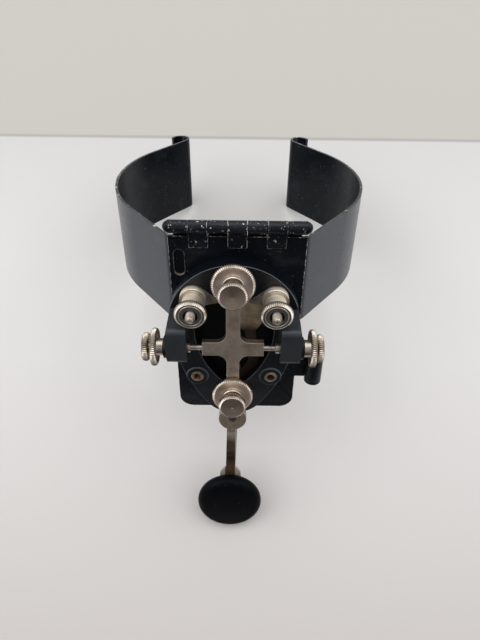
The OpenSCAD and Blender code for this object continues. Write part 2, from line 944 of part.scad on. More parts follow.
// Return spring: one round wire, with a short straight end along the axis at each end
rings_per_curl = 8;
wire_sides = 6;
spring_steps = curl_n * rings_per_curl;
spring_pitch = (spring_high - spring_low) / curl_n;

function curl_angle(i) = 360 * i / rings_per_curl;
function curl_out(i) = [cos(curl_angle(i)), sin(curl_angle(i)), 0];
function curl_point(i) = spring_r * curl_out(i)
    + [0, 0, spring_low + spring_pitch * i / rings_per_curl];
function curl_along(i) = let (step = curl_point(i + 0.5) - curl_point(i - 0.5)) step / norm(step);
function unit(v) = v / norm(v);
function wire_ring(middle, out, along) = [
    for (k = [0 : wire_sides - 1])
        let (a = 360 * k / wire_sides)
            middle + wire_d / 2 * (cos(a) * out + sin(a) * cross(along, out))
];

up = [0, 0, 1];
wire_points = concat(
    wire_ring(curl_point(0) - wire_d * up, curl_out(0), up),
    wire_ring(curl_point(0), curl_out(0), unit(curl_along(0) + up)),
    [for (i = [1 : spring_steps - 1]) each wire_ring(curl_point(i), curl_out(i), curl_along(i))],
    wire_ring(curl_point(spring_steps), curl_out(spring_steps), unit(curl_along(spring_steps) + up)),
    wire_ring(curl_point(spring_steps) + wire_d * up, curl_out(spring_steps), up)
);
wire_rings = spring_steps + 3;
wire_faces = concat(
    [for (k = [1 : wire_sides - 2]) [0, k, k + 1]],
    [
        for (ring = [0 : wire_rings - 2], k = [0 : wire_sides - 1])
            let (
                a = ring * wire_sides + k,
                b = ring * wire_sides + (k + 1) % wire_sides
            )
                each [[a, a + wire_sides, b], [b, a + wire_sides, b + wire_sides]]
    ],
    [
        for (k = [1 : wire_sides - 2])
            let (last = (wire_rings - 1) * wire_sides)
                [last, last + k + 1, last + k]
    ]
);
spring_least_gap = min([
    for (i = [0 : spring_steps], j = [i + rings_per_curl / 2 : spring_steps])
        norm(curl_point(j) - curl_point(i)) - wire_d
]);
echo(spring_least_gap = spring_least_gap);

module return_spring() {
    color(steel) on_base()
        on_lever()
            translate([0, -front_d, 0])
                polyhedron(wire_points, wire_faces);
}

// Lever and what is fixed to it

module inner_fillet(r) {
    difference() {
        square(r);
        translate([r, r])
            circle(r);
    }
}

module lever_outline() {
    square([cross_w, cross_h], center = true);
    translate([-rear_arm_w / 2, 0])
        square([rear_arm_w, rear_d]);
    translate([-front_arm_w / 2, -contact_d])
        square([front_arm_w, contact_d]);
    for (y = [rear_d, -front_d])
        translate([0, y])
            circle(d = screw_boss_d);
    translate([0, -contact_d])
        circle(d = contact_disc_d);
    for (side = [LEFT, RIGHT])
        on_side(side) {
            translate([rear_arm_w / 2, cross_h / 2])
                inner_fillet(cross_fillet_r);
            translate([front_arm_w / 2, -cross_h / 2])
                mirror([0, 1])
                    inner_fillet(cross_fillet_r);
        }
}

module lever() {
    color(nickel) on_base()
        on_lever()
            difference() {
                linear_extrude(lever_t, center = true)
                    difference() {
                        lever_outline();
                        for (y = [rear_d, -front_d])
                            translate([0, y])
                                circle(d = screw_d + 2 * run);
                        translate([0, -contact_d])
                            circle(d = rivet_d + 2 * fit);
                    }
                for (side = [LEFT, RIGHT])
                    rotate([0, 90 * side, 0])
                        translate([0, 0, cross_w / 2 - pin_sunk - fit])
                            cylinder(d = pin_d + 2 * fit, h = pin_sunk + over);
            }
}

module trunnion_pins() {
    color(steel) on_base()
        on_lever()
            for (side = [LEFT, RIGHT])
                rotate([0, 90 * side, 0])
                    translate([0, 0, cross_w / 2 - pin_sunk])
                        cylinder(d = pin_d, h = pin_tip - cross_w / 2 + pin_sunk);
}

module upper_contact() {
    color(nickel) on_base()
        on_lever()
            translate([0, -contact_d, 0]) {
                translate([0, 0, point_low])
                    cylinder(d = point_d, h = point_h);
                translate([0, 0, point_low + point_h])
                    cylinder(d = rivet_d, h = lever_top - point_low - point_h);
                translate([0, 0, lever_top])
                    dome(rivet_head_d, rivet_head_h);
            }
}

// The gooseneck strip, drawn forward from its round end under the contact disc
arm_start = contact_disc_d / 2 + 3;
arm_lean = (arm_drop - 2 * arm_bend_r * (1 - cos(arm_slope))) / sin(arm_slope);
arm_level = strip_l - arm_start - 2 * arm_bend_r * sin(arm_slope) - arm_lean * cos(arm_slope);

module knob_arm() {
    color(nickel) on_base()
        on_strip()
            difference() {
                union() {
                    translate([-arm_w / 2, 0, arm_z])
                        rotate([90, 0, -90])
                            mirror([0, 0, 1])
                                straight(arm_start, arm_t, arm_w)
                                    bend(arm_bend_r, -arm_slope, arm_t, arm_w)
                                        straight(arm_lean, arm_t, arm_w)
                                            bend(arm_bend_r, arm_slope, arm_t, arm_w)
                                                straight(arm_level, arm_t, arm_w);
                    translate([0, 0, arm_z])
                        cylinder(d = eye_d, h = arm_t, center = true);
                    translate([0, paddle_l / 2 - strip_l, eye_z])
                        linear_extrude(arm_t, center = true)
                            round_slot(eye_d, paddle_l + eye_d);
                }
                translate([0, 0, arm_z])
                    cylinder(d = rivet_d + 2 * fit, h = arm_t + over, center = true);
                translate([0, -strip_l, eye_z])
                    cylinder(d = knob_screw_d + 2 * fit, h = arm_t + over, center = true);
            }
}

module knob_washer() {
    rim = 0.5;
    color(brass) on_base()
        on_strip()
            translate([0, -strip_l, eye_z + arm_t / 2])
                difference() {
                    cylinder(d = eye_d + 2 * rim, h = knob_washer_t);
                    translate([0, 0, -over])
                        cylinder(d = knob_screw_d + 2 * fit, h = knob_washer_t + 2 * over);
                }
}

module knob_screw() {
    head_rim = 1.5;
    head_h = 1.6;
    under = eye_z - arm_t / 2;
    color(nickel) on_base()
        on_strip()
            translate([0, -strip_l, under]) {
                cylinder(d = knob_screw_d, h = knob_low + knob_screw_in - under);
                mirror([0, 0, 1])
                    dome(knob_screw_d + 2 * head_rim, head_h);
            }
}

module knob() {
    color(phenolic) on_base()
        on_strip()
            translate([0, -strip_l, knob_z])
                difference() {
                    union() {
                        rotate_extrude($fn = 96) {
                            translate([0, -knob_edge_r])
                                square([knob_rim_r, knob_t]);
                            translate([knob_rim_r, 0])
                                intersection() {
                                    circle(knob_edge_r);
                                    translate([0, -knob_t])
                                        square([knob_t, 2 * knob_t]);
                                }
                        }
                        translate([0, 0, knob_edge_r])
                            dome(2 * knob_rim_r, knob_dome);
                    }
                    translate([0, 0, -knob_edge_r - over])
                        cylinder(d = knob_screw_d + 2 * fit, h = knob_screw_in + over + fit);
                }
}

// Adjusting screws on the lever

module lever_lock_nut(y) {
    color(nickel) on_base()
        on_lever()
            translate([0, y, lever_top + face_gap])
                lock_nut(lock_d, lock_t - face_gap, lock_hub_d, lock_hub_h);
}

module rear_screw() {
    color(nickel) on_base()
        on_lever()
            translate([0, rear_d, 0]) {
                translate([0, 0, ball_z])
                    sphere(d = ball_d);
                translate([0, 0, ball_z])
                    cylinder(d = screw_d, h = hub_top + rear_neck - ball_z);
                translate([0, 0, hub_top + rear_neck])
                    thumb_head(head_d, head_t);
            }
}

module rear_lock_nut() {
    lever_lock_nut(rear_d);
}

module front_screw() {
    color(nickel) on_base()
        on_lever()
            translate([0, -front_d, 0]) {
                translate([0, 0, -lever_top - spring_screw_out])
                    cylinder(d = screw_d, h = hub_top + front_neck + lever_top + spring_screw_out);
                translate([0, 0, hub_top + front_neck])
                    thumb_head(head_d, head_t);
            }
}

module front_lock_nut() {
    lever_lock_nut(-front_d);
}

// Trunnion screws, through the pillars' bushings: both follow the lever to one side

lock_out = pillar_out + bush_collar_t + face_gap + trunnion_hub_h + trunnion_lock_t;

module trunnion_screw(side) {
    tip = pillar_in - trunnion_tip + side * lever_side;
    head = lock_out + trunnion_neck + side * lever_side;
    color(nickel) on_base()
        on_trunnion(side)
            difference() {
                union() {
                    translate([0, 0, tip])
                        cylinder(d = screw_d, h = head - tip);
                    translate([0, 0, head])
                        thumb_head(trunnion_head_d, trunnion_head_t);
                }
                translate([0, 0, tip - over])
                    cylinder(d = pin_d + 2 * run, h = cup_depth + over);
            }
}

module trunnion_lock_nut(side) {
    color(nickel) on_base()
        on_trunnion(side)
            translate([0, 0, lock_out])
                mirror([0, 0, 1])
                    lock_nut(trunnion_lock_d, trunnion_lock_t, trunnion_hub_d, trunnion_hub_h);
}

module trunnion_screw_left() {
    trunnion_screw(LEFT);
}

module trunnion_screw_right() {
    trunnion_screw(RIGHT);
}

module trunnion_lock_nut_left() {
    trunnion_lock_nut(LEFT);
}

module trunnion_lock_nut_right() {
    trunnion_lock_nut(RIGHT);
}

// Thumb nuts of the binding posts

module post_washer(side) {
    color(nickel) on_base()
        on_post(side)
            translate([0, 0, post_washer_low + face_gap])
                difference() {
                    cylinder(d = collar_d, h = post_washer_t - face_gap);
                    translate([0, 0, -over])
                        cylinder(d = stud_d + 2 * run, h = post_washer_t + 2 * over);
                }
}

module post_nut(side) {
    bore = stud_d / 2 + run;
    sink_w = 0.9;
    sink_h = 1.2;
    groove = nut_d / 2 - 1.5;
    groove_w = 0.7;
    groove_h = 0.4;
    top = nut_shoulder_h + nut_head_h;
    color(nickel) on_base()
        on_post(side)
            translate([0, 0, nut_low])
                rotate_extrude()
                    polygon([
                        [bore, 0], [nut_shoulder_d / 2, 0],
                        [nut_shoulder_d / 2, nut_shoulder_h],
                        [nut_d / 2 - rim_bevel, nut_shoulder_h],
                        [nut_d / 2, nut_shoulder_h + rim_bevel],
                        [nut_d / 2, top - rim_bevel], [nut_d / 2 - rim_bevel, top],
                        [groove, top], [groove, top - groove_h],
                        [groove - groove_w, top - groove_h], [groove - groove_w, top],
                        [bore + sink_w, top], [bore + sink_w, top - sink_h], [bore, top - sink_h]
                    ]);
}

module post_washer_left() {
    post_washer(LEFT);
}

module post_washer_right() {
    post_washer(RIGHT);
}

module post_nut_left() {
    post_nut(LEFT);
}

module post_nut_right() {
    post_nut(RIGHT);
}

leg_clamp();
hinge_pin();
key_plate();
base();
base_eyelets();
pillar_bushings();
post_studs();
post_collars();
post_lug_left();
post_lug_right();
rear_anvil();
contact_strap();
lower_contact();
spring_seat();
return_spring();
lever();
trunnion_pins();
upper_contact();
knob_arm();
knob_washer();
knob_screw();
knob();
rear_screw();
rear_lock_nut();
front_screw();
front_lock_nut();
trunnion_screw_left();
trunnion_screw_right();
trunnion_lock_nut_left();
trunnion_lock_nut_right();
post_washer_left();
post_washer_right();
post_nut_left();
post_nut_right();
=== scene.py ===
import json
import math
import bpy
from mathutils import Matrix, Vector

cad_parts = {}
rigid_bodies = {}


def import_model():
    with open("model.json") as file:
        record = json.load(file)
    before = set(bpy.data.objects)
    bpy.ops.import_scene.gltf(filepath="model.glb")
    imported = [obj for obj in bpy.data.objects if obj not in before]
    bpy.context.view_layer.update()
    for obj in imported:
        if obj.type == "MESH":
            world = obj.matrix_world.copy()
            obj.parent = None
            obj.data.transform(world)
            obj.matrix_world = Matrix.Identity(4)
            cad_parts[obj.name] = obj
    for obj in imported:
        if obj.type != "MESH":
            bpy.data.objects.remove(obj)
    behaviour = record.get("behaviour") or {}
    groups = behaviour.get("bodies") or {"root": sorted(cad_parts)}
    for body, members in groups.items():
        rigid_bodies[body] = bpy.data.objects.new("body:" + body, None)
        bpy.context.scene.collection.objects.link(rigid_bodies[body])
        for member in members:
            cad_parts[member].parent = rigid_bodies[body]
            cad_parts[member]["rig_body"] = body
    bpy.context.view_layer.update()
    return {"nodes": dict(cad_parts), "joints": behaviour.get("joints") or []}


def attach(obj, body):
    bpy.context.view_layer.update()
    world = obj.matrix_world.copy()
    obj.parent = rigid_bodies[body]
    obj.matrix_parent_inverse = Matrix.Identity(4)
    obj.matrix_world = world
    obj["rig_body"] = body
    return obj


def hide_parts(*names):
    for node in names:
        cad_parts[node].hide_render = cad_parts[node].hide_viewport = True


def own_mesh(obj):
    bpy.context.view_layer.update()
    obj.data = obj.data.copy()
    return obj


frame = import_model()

# Leg clamp: a spring strip bent round the thigh, with two rolled lips and four hinge knuckles.
# Pressed from one piece of steel and dipped in black stove enamel, which has chipped off the edges
# down to a greyish primer and bare metal.
mm = 0.001
joints = {joint["name"]: joint for joint in frame["joints"]}
right = Vector((1, 0, 0))
plate_out = Vector(joints["post_nut_left_turn"]["axis"])
to_hinge = plate_out.cross(right)
hinge = Vector(joints["plate_hinge"]["pos_m"])
knuckle_r = 2.65
hinge_up, hinge_out = 5.6, 1.15
bench = hinge - (hinge_up * to_hinge + hinge_out * plate_out) * mm


def linear(code):
    channels = [int(code[i:i + 2], 16) / 255 for i in (1, 3, 5)]
    return [c / 12.92 if c < 0.04045 else ((c + 0.055) / 1.055) ** 2.4 for c in channels] + [1]


def add(tree, kind, inputs, **settings):
    node = tree.nodes.new(kind)
    for name, value in settings.items():
        setattr(node, name, value)
    for socket, value in inputs.items():
        if isinstance(value, bpy.types.NodeSocket):
            tree.links.new(value, node.inputs[socket])
        else:
            node.inputs[socket].default_value = value
    return node.outputs


def new_finish(name):
    finish = bpy.data.materials.new(name)
    finish.use_nodes = True
    return finish, finish.node_tree, finish.node_tree.nodes["Principled BSDF"]


# Stove enamel: a thick black coat with a soft gloss and a slight orange peel, dusty and smeared,
# with fine scratches, and chips that show first the primer and then the steel.
def stove_enamel(name, dark, light, chip_mm, chip_from, shine=0.23):
    cloud_mm, dust_mm, scratch_mm, smear_mm, peel_mm = 18, 0.9, 9, 26, 1.6
    finish, tree, gloss = new_finish(name)
    place = add(tree, "ShaderNodeTexCoord", {})["Object"]
    cloud = add(tree, "ShaderNodeTexNoise", {
        "Vector": place, "Scale": 1 / (cloud_mm * mm), "Detail": 4})[0]
    chips = add(tree, "ShaderNodeTexNoise", {
        "Vector": place, "Scale": 1 / (chip_mm * mm), "Detail": 5, "Roughness": 0.62})[0]
    dust = add(tree, "ShaderNodeTexNoise", {
        "Vector": place, "Scale": 1 / (dust_mm * mm), "Detail": 2, "Roughness": 0.5})[0]
    turned_place = add(tree, "ShaderNodeMapping", {
        "Vector": place, "Rotation": (0.5, 0.3, 0.8), "Scale": (1, 14, 14)})[0]
    marks = add(tree, "ShaderNodeTexNoise", {
        "Vector": turned_place, "Scale": 1 / (scratch_mm * mm), "Detail": 3, "Roughness": 0.6})[0]
    coat = add(tree, "ShaderNodeMix", {
        0: cloud, 6: linear(dark), 7: linear(light)}, data_type="RGBA")[2]
    specks = add(tree, "ShaderNodeMapRange", {
        "Value": dust, "From Min": 0.71, "From Max": 0.76, "To Max": 0.75})[0]
    dusty = add(tree, "ShaderNodeMix", {
        0: specks, 6: coat, 7: linear("#8b8d90")}, data_type="RGBA")[2]
    wiped_place = add(tree, "ShaderNodeMapping", {
        "Vector": place, "Rotation": (0.6, 0.2, 0.5), "Scale": (1, 2.5, 2.5)})[0]
    wiped = add(tree, "ShaderNodeTexNoise", {
        "Vector": wiped_place, "Scale": 1 / (smear_mm * mm), "Detail": 5, "Roughness": 0.6})[0]
    smears = add(tree, "ShaderNodeMapRange", {
        "Value": wiped, "From Min": 0.54, "From Max": 0.74, "To Max": 0.15})[0]
    smeared = add(tree, "ShaderNodeMix", {
        0: smears, 6: dusty, 7: linear("#4d5a68")}, data_type="RGBA")[2]
    scored = add(tree, "ShaderNodeMapRange", {
        "Value": marks, "From Min": 0.70, "From Max": 0.76, "To Max": 0.5})[0]
    scratched = add(tree, "ShaderNodeMix", {
        0: scored, 6: smeared, 7: linear("#6f7276")}, data_type="RGBA")[2]
    primer = add(tree, "ShaderNodeMapRange", {
        "Value": chips, "From Min": chip_from, "From Max": chip_from + 0.02})[0]
    bare = add(tree, "ShaderNodeMapRange", {
        "Value": chips, "From Min": chip_from + 0.035, "From Max": chip_from + 0.055})[0]
    primed = add(tree, "ShaderNodeMix", {
        0: primer, 6: scratched, 7: linear("#76735f")}, data_type="RGBA")[2]
    colour = add(tree, "ShaderNodeMix", {
        0: bare, 6: primed, 7: linear("#cfcdc8")}, data_type="RGBA")[2]
    tree.links.new(colour, gloss.inputs["Base Color"])
    bright = add(tree, "ShaderNodeMapRange", {"Value": bare, "To Max": 0.6})[0]
    tree.links.new(bright, gloss.inputs["Metallic"])
    worn = add(tree, "ShaderNodeMapRange", {"Value": cloud, "To Min": 0.22, "To Max": 0.36})[0]
    rough = add(tree, "ShaderNodeMix", {0: primer, 2: worn, 3: 0.55})[0]
    tree.links.new(rough, gloss.inputs["Roughness"])
    gloss.inputs["Specular IOR Level"].default_value = shine
    peel = add(tree, "ShaderNodeTexNoise", {
        "Vector": place, "Scale": 1 / (peel_mm * mm), "Detail": 2})[0]
    skin = add(tree, "ShaderNodeBump", {
        "Height": peel, "Strength": 0.10, "Distance": 0.08 * mm})[0]
    sunk = add(tree, "ShaderNodeBump", {
        "Height": primer, "Normal": skin, "Strength": 0.5, "Distance": 0.08 * mm}, invert=True)[0]
    tree.links.new(sunk, gloss.inputs["Normal"])
    return finish


enamel = stove_enamel("black_stove_enamel", "#06090e", "#0c1016", 5, 0.76, 0.17)
# Lighter bluish coat for the arms' outward faces: partly dust and handling haze, partly painted
# sheen
enamel_haze_and_sheen = stove_enamel("hazed_stove_enamel_sheen", "#1f242d", "#2f343f", 5, 0.76, 0.44)
enamel_edge = stove_enamel("stove_enamel_worn_edge", "#222427", "#484a4c", 2.4, 0.6)
enamel_hinge = stove_enamel("stove_enamel_worn_hinge", "#080b11", "#0f131a", 1.4, 0.62)


def from_bench(point):
    offset = point - bench
    return offset.x / mm, offset.dot(to_hinge) / mm, offset.dot(plate_out) / mm


merge_gap = 0.004 * mm
flat_angle, sharp_angle, smooth_angle = (math.radians(degrees) for degrees in (1, 40, 35))


# A CAD node's mesh, merged, with its sharp edges broken as on the real piece, all of them or those
# at the given places, and its flat faces kept flat in the light. Broken edges take the piece's
# second finish; a width of 0 leaves every edge as cut.
def worked_copy(node, edge, *finishes, where=None):
    bpy.ops.object.select_all(action="DESELECT")
    piece = bpy.data.objects.new(node + "_finished", frame["nodes"][node].data.copy())
    bpy.context.scene.collection.objects.link(piece)
    bpy.context.view_layer.objects.active = piece
    piece.select_set(True)
    piece.data.materials.clear()
    for finish in finishes:
        piece.data.materials.append(finish)
    for face in piece.data.polygons:
        face.material_index = 0
    bpy.ops.mesh.customdata_custom_splitnormals_clear()
    bpy.ops.object.mode_set(mode="EDIT")
    bpy.ops.mesh.select_mode(type="EDGE")
    bpy.ops.mesh.select_all(action="SELECT")
    bpy.ops.mesh.remove_doubles(threshold=merge_gap)
    bpy.ops.mesh.dissolve_limited(angle_limit=flat_angle)
    bpy.ops.mesh.select_all(action="DESELECT")
    bpy.ops.mesh.edges_select_sharp(sharpness=sharp_angle)
    bpy.ops.object.mode_set(mode="OBJECT")
    sharp = [line.select for line in piece.data.edges]
    places = [where is None or where(*from_bench(corner.co)) for corner in piece.data.vertices]
    piece.data.polygons.foreach_set("select", [False] * len(piece.data.polygons))
    piece.data.vertices.foreach_set("select", [False] * len(places))
    for line in piece.data.edges:
        line.select = sharp[line.index] and places[line.vertices[0]] and places[line.vertices[1]]
    bpy.ops.object.mode_set(mode="EDIT")
    if edge:
        bpy.ops.mesh.bevel(
            offset=edge * mm, segments=2, clamp_overlap=False, material=min(1, len(finishes) - 1))
    bpy.ops.mesh.select_all(action="DESELECT")
    bpy.ops.object.mode_set(mode="OBJECT")
    bpy.ops.object.shade_smooth_by_angle(angle=smooth_angle)
    piece.modifiers.new("flat_faces", "WEIGHTED_NORMAL").keep_sharp = True
    bpy.ops.object.modifier_apply(modifier="flat_faces")
    return piece


def stands_for(piece, slot, *nodes):
    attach(piece, frame["nodes"][nodes[0]]["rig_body"])
    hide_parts(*nodes)


# The strip's edges are worn, the knuckles chipped, and the arms' outer faces take a lighter coat,
# partly handling haze and partly painted sheen
knuckle_reach, edge_facing, side_facing = knuckle_r + 0.3, 0.8, 0.12
clamp = worked_copy("leg_clamp", 0, enamel, enamel_edge, enamel_hinge, enamel_haze_and_sheen)
for face in clamp.data.polygons:
    x, y, z = from_bench(face.center)
    if math.hypot(y - hinge_up, z - hinge_out) < knuckle_reach:
        face.material_index = 2
    elif abs(face.normal.dot(to_hinge)) > edge_facing:
        face.material_index = 1
    elif face.normal.x * x > side_facing * abs(x):
        face.material_index = 3
stands_for(clamp, "enamel", "leg_clamp")


# Hinge pin: steel, through all seven knuckles, with a domed head riveted over at each end, and
# painted with the rest.
stands_for(worked_copy("hinge_pin", 0.15, enamel), "steel", "hinge_pin")


# Key plate: the sheet that carries the key, with three rolled knuckles, a tie slot and a rolled
# cord loop. Steel in the clamp's enamel, rubbed bare along its side edges and rusty in the slot.
enamel_bare = stove_enamel("stove_enamel_bare_edge", "#1b1d20", "#4a4b4b", 2, 0.47)

# Rusty bare steel: a dull grey shine, broken by dry brown spots.
rust_spot_mm = 1.5
rusty_steel, tree, gloss = new_finish("rusty_bare_steel")
place = add(tree, "ShaderNodeTexCoord", {})["Object"]
bloom = add(tree, "ShaderNodeTexNoise", {
    "Vector": place, "Scale": 1 / (rust_spot_mm * mm), "Detail": 4})[0]
rust_area = add(tree, "ShaderNodeMapRange", {"Value": bloom, "From Min": 0.42, "From Max": 0.62})[0]
rust_colour = add(tree, "ShaderNodeMix", {
    0: rust_area, 6: linear("#b5b0a8"), 7: linear("#4a2f20")}, data_type="RGBA")[2]
tree.links.new(rust_colour, gloss.inputs["Base Color"])
shine = add(tree, "ShaderNodeMapRange", {"Value": rust_area, "To Min": 0.9, "To Max": 0.0})[0]
tree.links.new(shine, gloss.inputs["Metallic"])
rust_rough = add(tree, "ShaderNodeMapRange", {
    "Value": rust_area, "To Min": 0.38, "To Max": 0.85})[0]
tree.links.new(rust_rough, gloss.inputs["Roughness"])

# The knuckles and their tabs are chipped, and the slot's wall is rusty
tab_end, tab_low = -4.2, 0.03
slot_x, slot_y, slot_w, slot_l, slot_rim, wall_area = -23.5, -10.9, 4.3, 12, 0.4, 4 * mm ** 2
plate = worked_copy("key_plate", 0.15, enamel, enamel_bare, enamel_hinge, rusty_steel)
for face in plate.data.polygons:
    x, y, z = from_bench(face.center)
    on_knuckle = math.hypot(y - hinge_up, z - hinge_out) < knuckle_reach
    if y > tab_end and (z > tab_low or on_knuckle):
        if face.material_index == 0:
            face.material_index = 2
    elif abs(x - slot_x) < slot_w / 2 + slot_rim and abs(y - slot_y) < slot_l / 2 + slot_rim:
        if face.area < wall_area:
            face.material_index = 3
stands_for(plate, "enamel", "key_plate")


# Base: egg-shaped, with a recess, two pillars for the trunnion screws and two low bosses. Moulded
# in one piece of black phenolic and held by the eyelets.


# Moulded phenolic: black, smooth from the mould, with a satin gloss and slight cloudiness.
def phenolic(name, dark, light, low_rough, high_rough, shine):
    cloud_mm, dust_mm, grain_mm = 7, 0.8, 0.7
    finish, tree, gloss = new_finish(name)
    place = add(tree, "ShaderNodeTexCoord", {})["Object"]
    cloud = add(tree, "ShaderNodeTexNoise", {
        "Vector": place, "Scale": 1 / (cloud_mm * mm), "Detail": 5})[0]
    colour = add(tree, "ShaderNodeMix", {
        0: cloud, 6: linear(dark), 7: linear(light)}, data_type="RGBA")[2]
    dust = add(tree, "ShaderNodeTexNoise", {
        "Vector": place, "Scale": 1 / (dust_mm * mm), "Detail": 2})[0]
    specks = add(tree, "ShaderNodeMapRange", {
        "Value": dust, "From Min": 0.72, "From Max": 0.78, "To Max": 0.4})[0]
    dusty = add(tree, "ShaderNodeMix", {
        0: specks, 6: colour, 7: linear("#77766f")}, data_type="RGBA")[2]
    tree.links.new(dusty, gloss.inputs["Base Color"])
    rough = add(tree, "ShaderNodeMapRange", {
        "Value": cloud, "From Min": 0.3, "From Max": 0.7,
        "To Min": low_rough, "To Max": high_rough})[0]
    tree.links.new(rough, gloss.inputs["Roughness"])
    gloss.inputs["Specular IOR Level"].default_value = shine
    grain = add(tree, "ShaderNodeTexNoise", {
        "Vector": place, "Scale": 1 / (grain_mm * mm), "Detail": 3})[0]
    skin = add(tree, "ShaderNodeBump", {
        "Height": grain, "Strength": 0.08, "Distance": 0.05 * mm})[0]
    tree.links.new(skin, gloss.inputs["Normal"])
    return finish


base_black = phenolic("moulded_phenolic", "#04080d", "#0a0f16", 0.24, 0.38, 0.44)
# The recess floor's near-black is painted shade, the darkening of the hollow
recess_painted_shade = phenolic("moulded_phenolic_recess_shade", "#020406", "#05080b", 0.4, 0.55, 0.12)
# The pillar tops' lighter grey is painted sheen; their higher roughness is their matt rubbed
# surface
pillar_painted_sheen = phenolic("phenolic_pillar_sheen", "#191c20", "#262a2e", 0.4, 0.55, 0.5)
# Lighter grey for the rim bevels: a painted highlight, the catch-light along the edges
base_edge_highlight = phenolic("moulded_phenolic_edge_highlight", "#4c4f52", "#7b7d7e", 0.3, 0.42, 0.42)
base_side, base_t, boss_h, rim_gap, level_step = -1.1, 7.2, 0.6, 0.03, 1
pillar_in, pillar_rear, pillar_front, floor_facing = 18.4, -27.5, -46.5, 0.9


# The rims of the base and its bosses, away from the pillars, whose bevels take a lighter grey as a
# painted highlight
def plain_rim(x, y, z):
    by_pillar = abs(x - base_side) > pillar_in and pillar_front < y < pillar_rear
    return not by_pillar and min(abs(z - base_t), abs(z - base_t - boss_h)) < rim_gap


base = worked_copy("base", 0.2, base_black, base_edge_highlight, pillar_painted_sheen, recess_painted_shade, where=plain_rim)
for face in base.data.polygons:
    height = from_bench(face.center)[2]
    # Pillar tops take the painted sheen
    if height > base_t + level_step:
        face.material_index = 2
    # The recess floor takes the painted shade
    elif height < base_t - level_step and face.normal.dot(plate_out) > floor_facing:
        face.material_index = 3
stands_for(base, "phenolic", "base")


# Eyelets: two tubular rivets through the bosses and the plate. Drawn from plated brass and rolled
# over at both ends; rust from the plate has stained the bores.


# Worn nickel plate: a warm grey metal, satin from handling, with darker tarnish in clouds.
def nickel(name, bright, tarnish, low_rough, high_rough, patch_mm):
    pit_mm, rub_mm = 0.7, 3
    finish, tree, gloss = new_finish(name)
    place = add(tree, "ShaderNodeTexCoord", {})["Object"]
    cloud = add(tree, "ShaderNodeTexNoise", {
        "Vector": place, "Scale": 1 / (patch_mm * mm), "Detail": 6, "Roughness": 0.6})[0]
    share = add(tree, "ShaderNodeMapRange", {"Value": cloud, "From Min": 0.35, "From Max": 0.68})[0]
    colour = add(tree, "ShaderNodeMix", {
        0: share, 6: linear(bright), 7: linear(tarnish)}, data_type="RGBA")[2]
    pits = add(tree, "ShaderNodeTexNoise", {
        "Vector": place, "Scale": 1 / (pit_mm * mm), "Detail": 3})[0]
    pitted = add(tree, "ShaderNodeMapRange", {
        "Value": pits, "From Min": 0.66, "From Max": 0.74, "To Max": 0.6})[0]
    spotted = add(tree, "ShaderNodeMix", {
        0: pitted, 6: colour, 7: linear("#4a4138")}, data_type="RGBA")[2]
    tree.links.new(spotted, gloss.inputs["Base Color"])
    gloss.inputs["Metallic"].default_value = 1
    rough = add(tree, "ShaderNodeMapRange", {
        "Value": cloud, "From Min": 0.3, "From Max": 0.7,
        "To Min": low_rough, "To Max": high_rough})[0]
    tree.links.new(rough, gloss.inputs["Roughness"])
    lines = add(tree, "ShaderNodeMapping", {
        "Vector": place, "Rotation": (0.4, 0.1, 0.6), "Scale": (1, 9, 9)})[0]
    rubbed = add(tree, "ShaderNodeTexNoise", {
        "Vector": lines, "Scale": 1 / (rub_mm * mm), "Detail": 3})[0]
    skin = add(tree, "ShaderNodeBump", {
        "Height": rubbed, "Strength": 0.08, "Distance": 0.05 * mm})[0]
    tree.links.new(skin, gloss.inputs["Normal"])
    return finish


seam_gap, lathe_angle = 0.001 * mm, math.radians(32)


# A lathe-turned shape from (radius, height) points in mm, spun round Z
def turned(name, profile, sides):
    bpy.ops.object.select_all(action="DESELECT")
    bpy.ops.mesh.primitive_plane_add(size=mm)
    piece = bpy.context.object
    piece.name = name
    bpy.ops.object.mode_set(mode="EDIT")
    bpy.ops.mesh.select_mode(type="VERT")
    bpy.ops.mesh.merge(type="CENTER")
    bpy.ops.transform.translate(value=(profile[0][0] * mm, 0, profile[0][1] * mm))
    for (r, h), (next_r, next_h) in zip(profile, profile[1:]):
        bpy.ops.mesh.extrude_vertices_move(
            TRANSFORM_OT_translate={"value": ((next_r - r) * mm, 0, (next_h - h) * mm)})
    bpy.ops.mesh.select_all(action="SELECT")
    bpy.ops.mesh.spin(steps=sides, angle=2 * math.pi, center=(0, 0, 0), axis=(0, 0, 1))
    bpy.ops.mesh.select_all(action="SELECT")
    bpy.ops.mesh.remove_doubles(threshold=seam_gap)
    bpy.ops.mesh.normals_make_consistent(inside=False)
    bpy.ops.mesh.select_all(action="DESELECT")
    bpy.ops.object.mode_set(mode="OBJECT")
    return piece


# Sets a shape that was made round Z down at its place, with its place in its mesh
def set_down(piece, place, axis, *finishes):
    bpy.ops.object.select_all(action="DESELECT")
    bpy.context.view_layer.objects.active = piece
    piece.select_set(True)
    bpy.ops.object.shade_smooth_by_angle(angle=lathe_angle)
    turn = Vector(axis).to_track_quat("Z", "Y").to_matrix().to_4x4()
    piece.matrix_world = Matrix.Translation(place) @ turn
    bpy.ops.object.transform_apply(location=True, rotation=True, scale=True)
    for finish in finishes:
        piece.data.materials.append(finish)


def joined(name, *pieces):
    bpy.ops.object.select_all(action="DESELECT")
    for piece in pieces:
        piece.select_set(True)
    bpy.context.view_layer.objects.active = pieces[0]
    bpy.ops.object.join()
    pieces[0].name = name
    return pieces[0]


def on_bench(x, y, z):
    return bench + (x * right + y * to_hinge + z * plate_out) * mm


eyelet_nickel = nickel("plated_eyelet_brass", "#a59a8d", "#6f655a", 0.38, 0.55, 2)


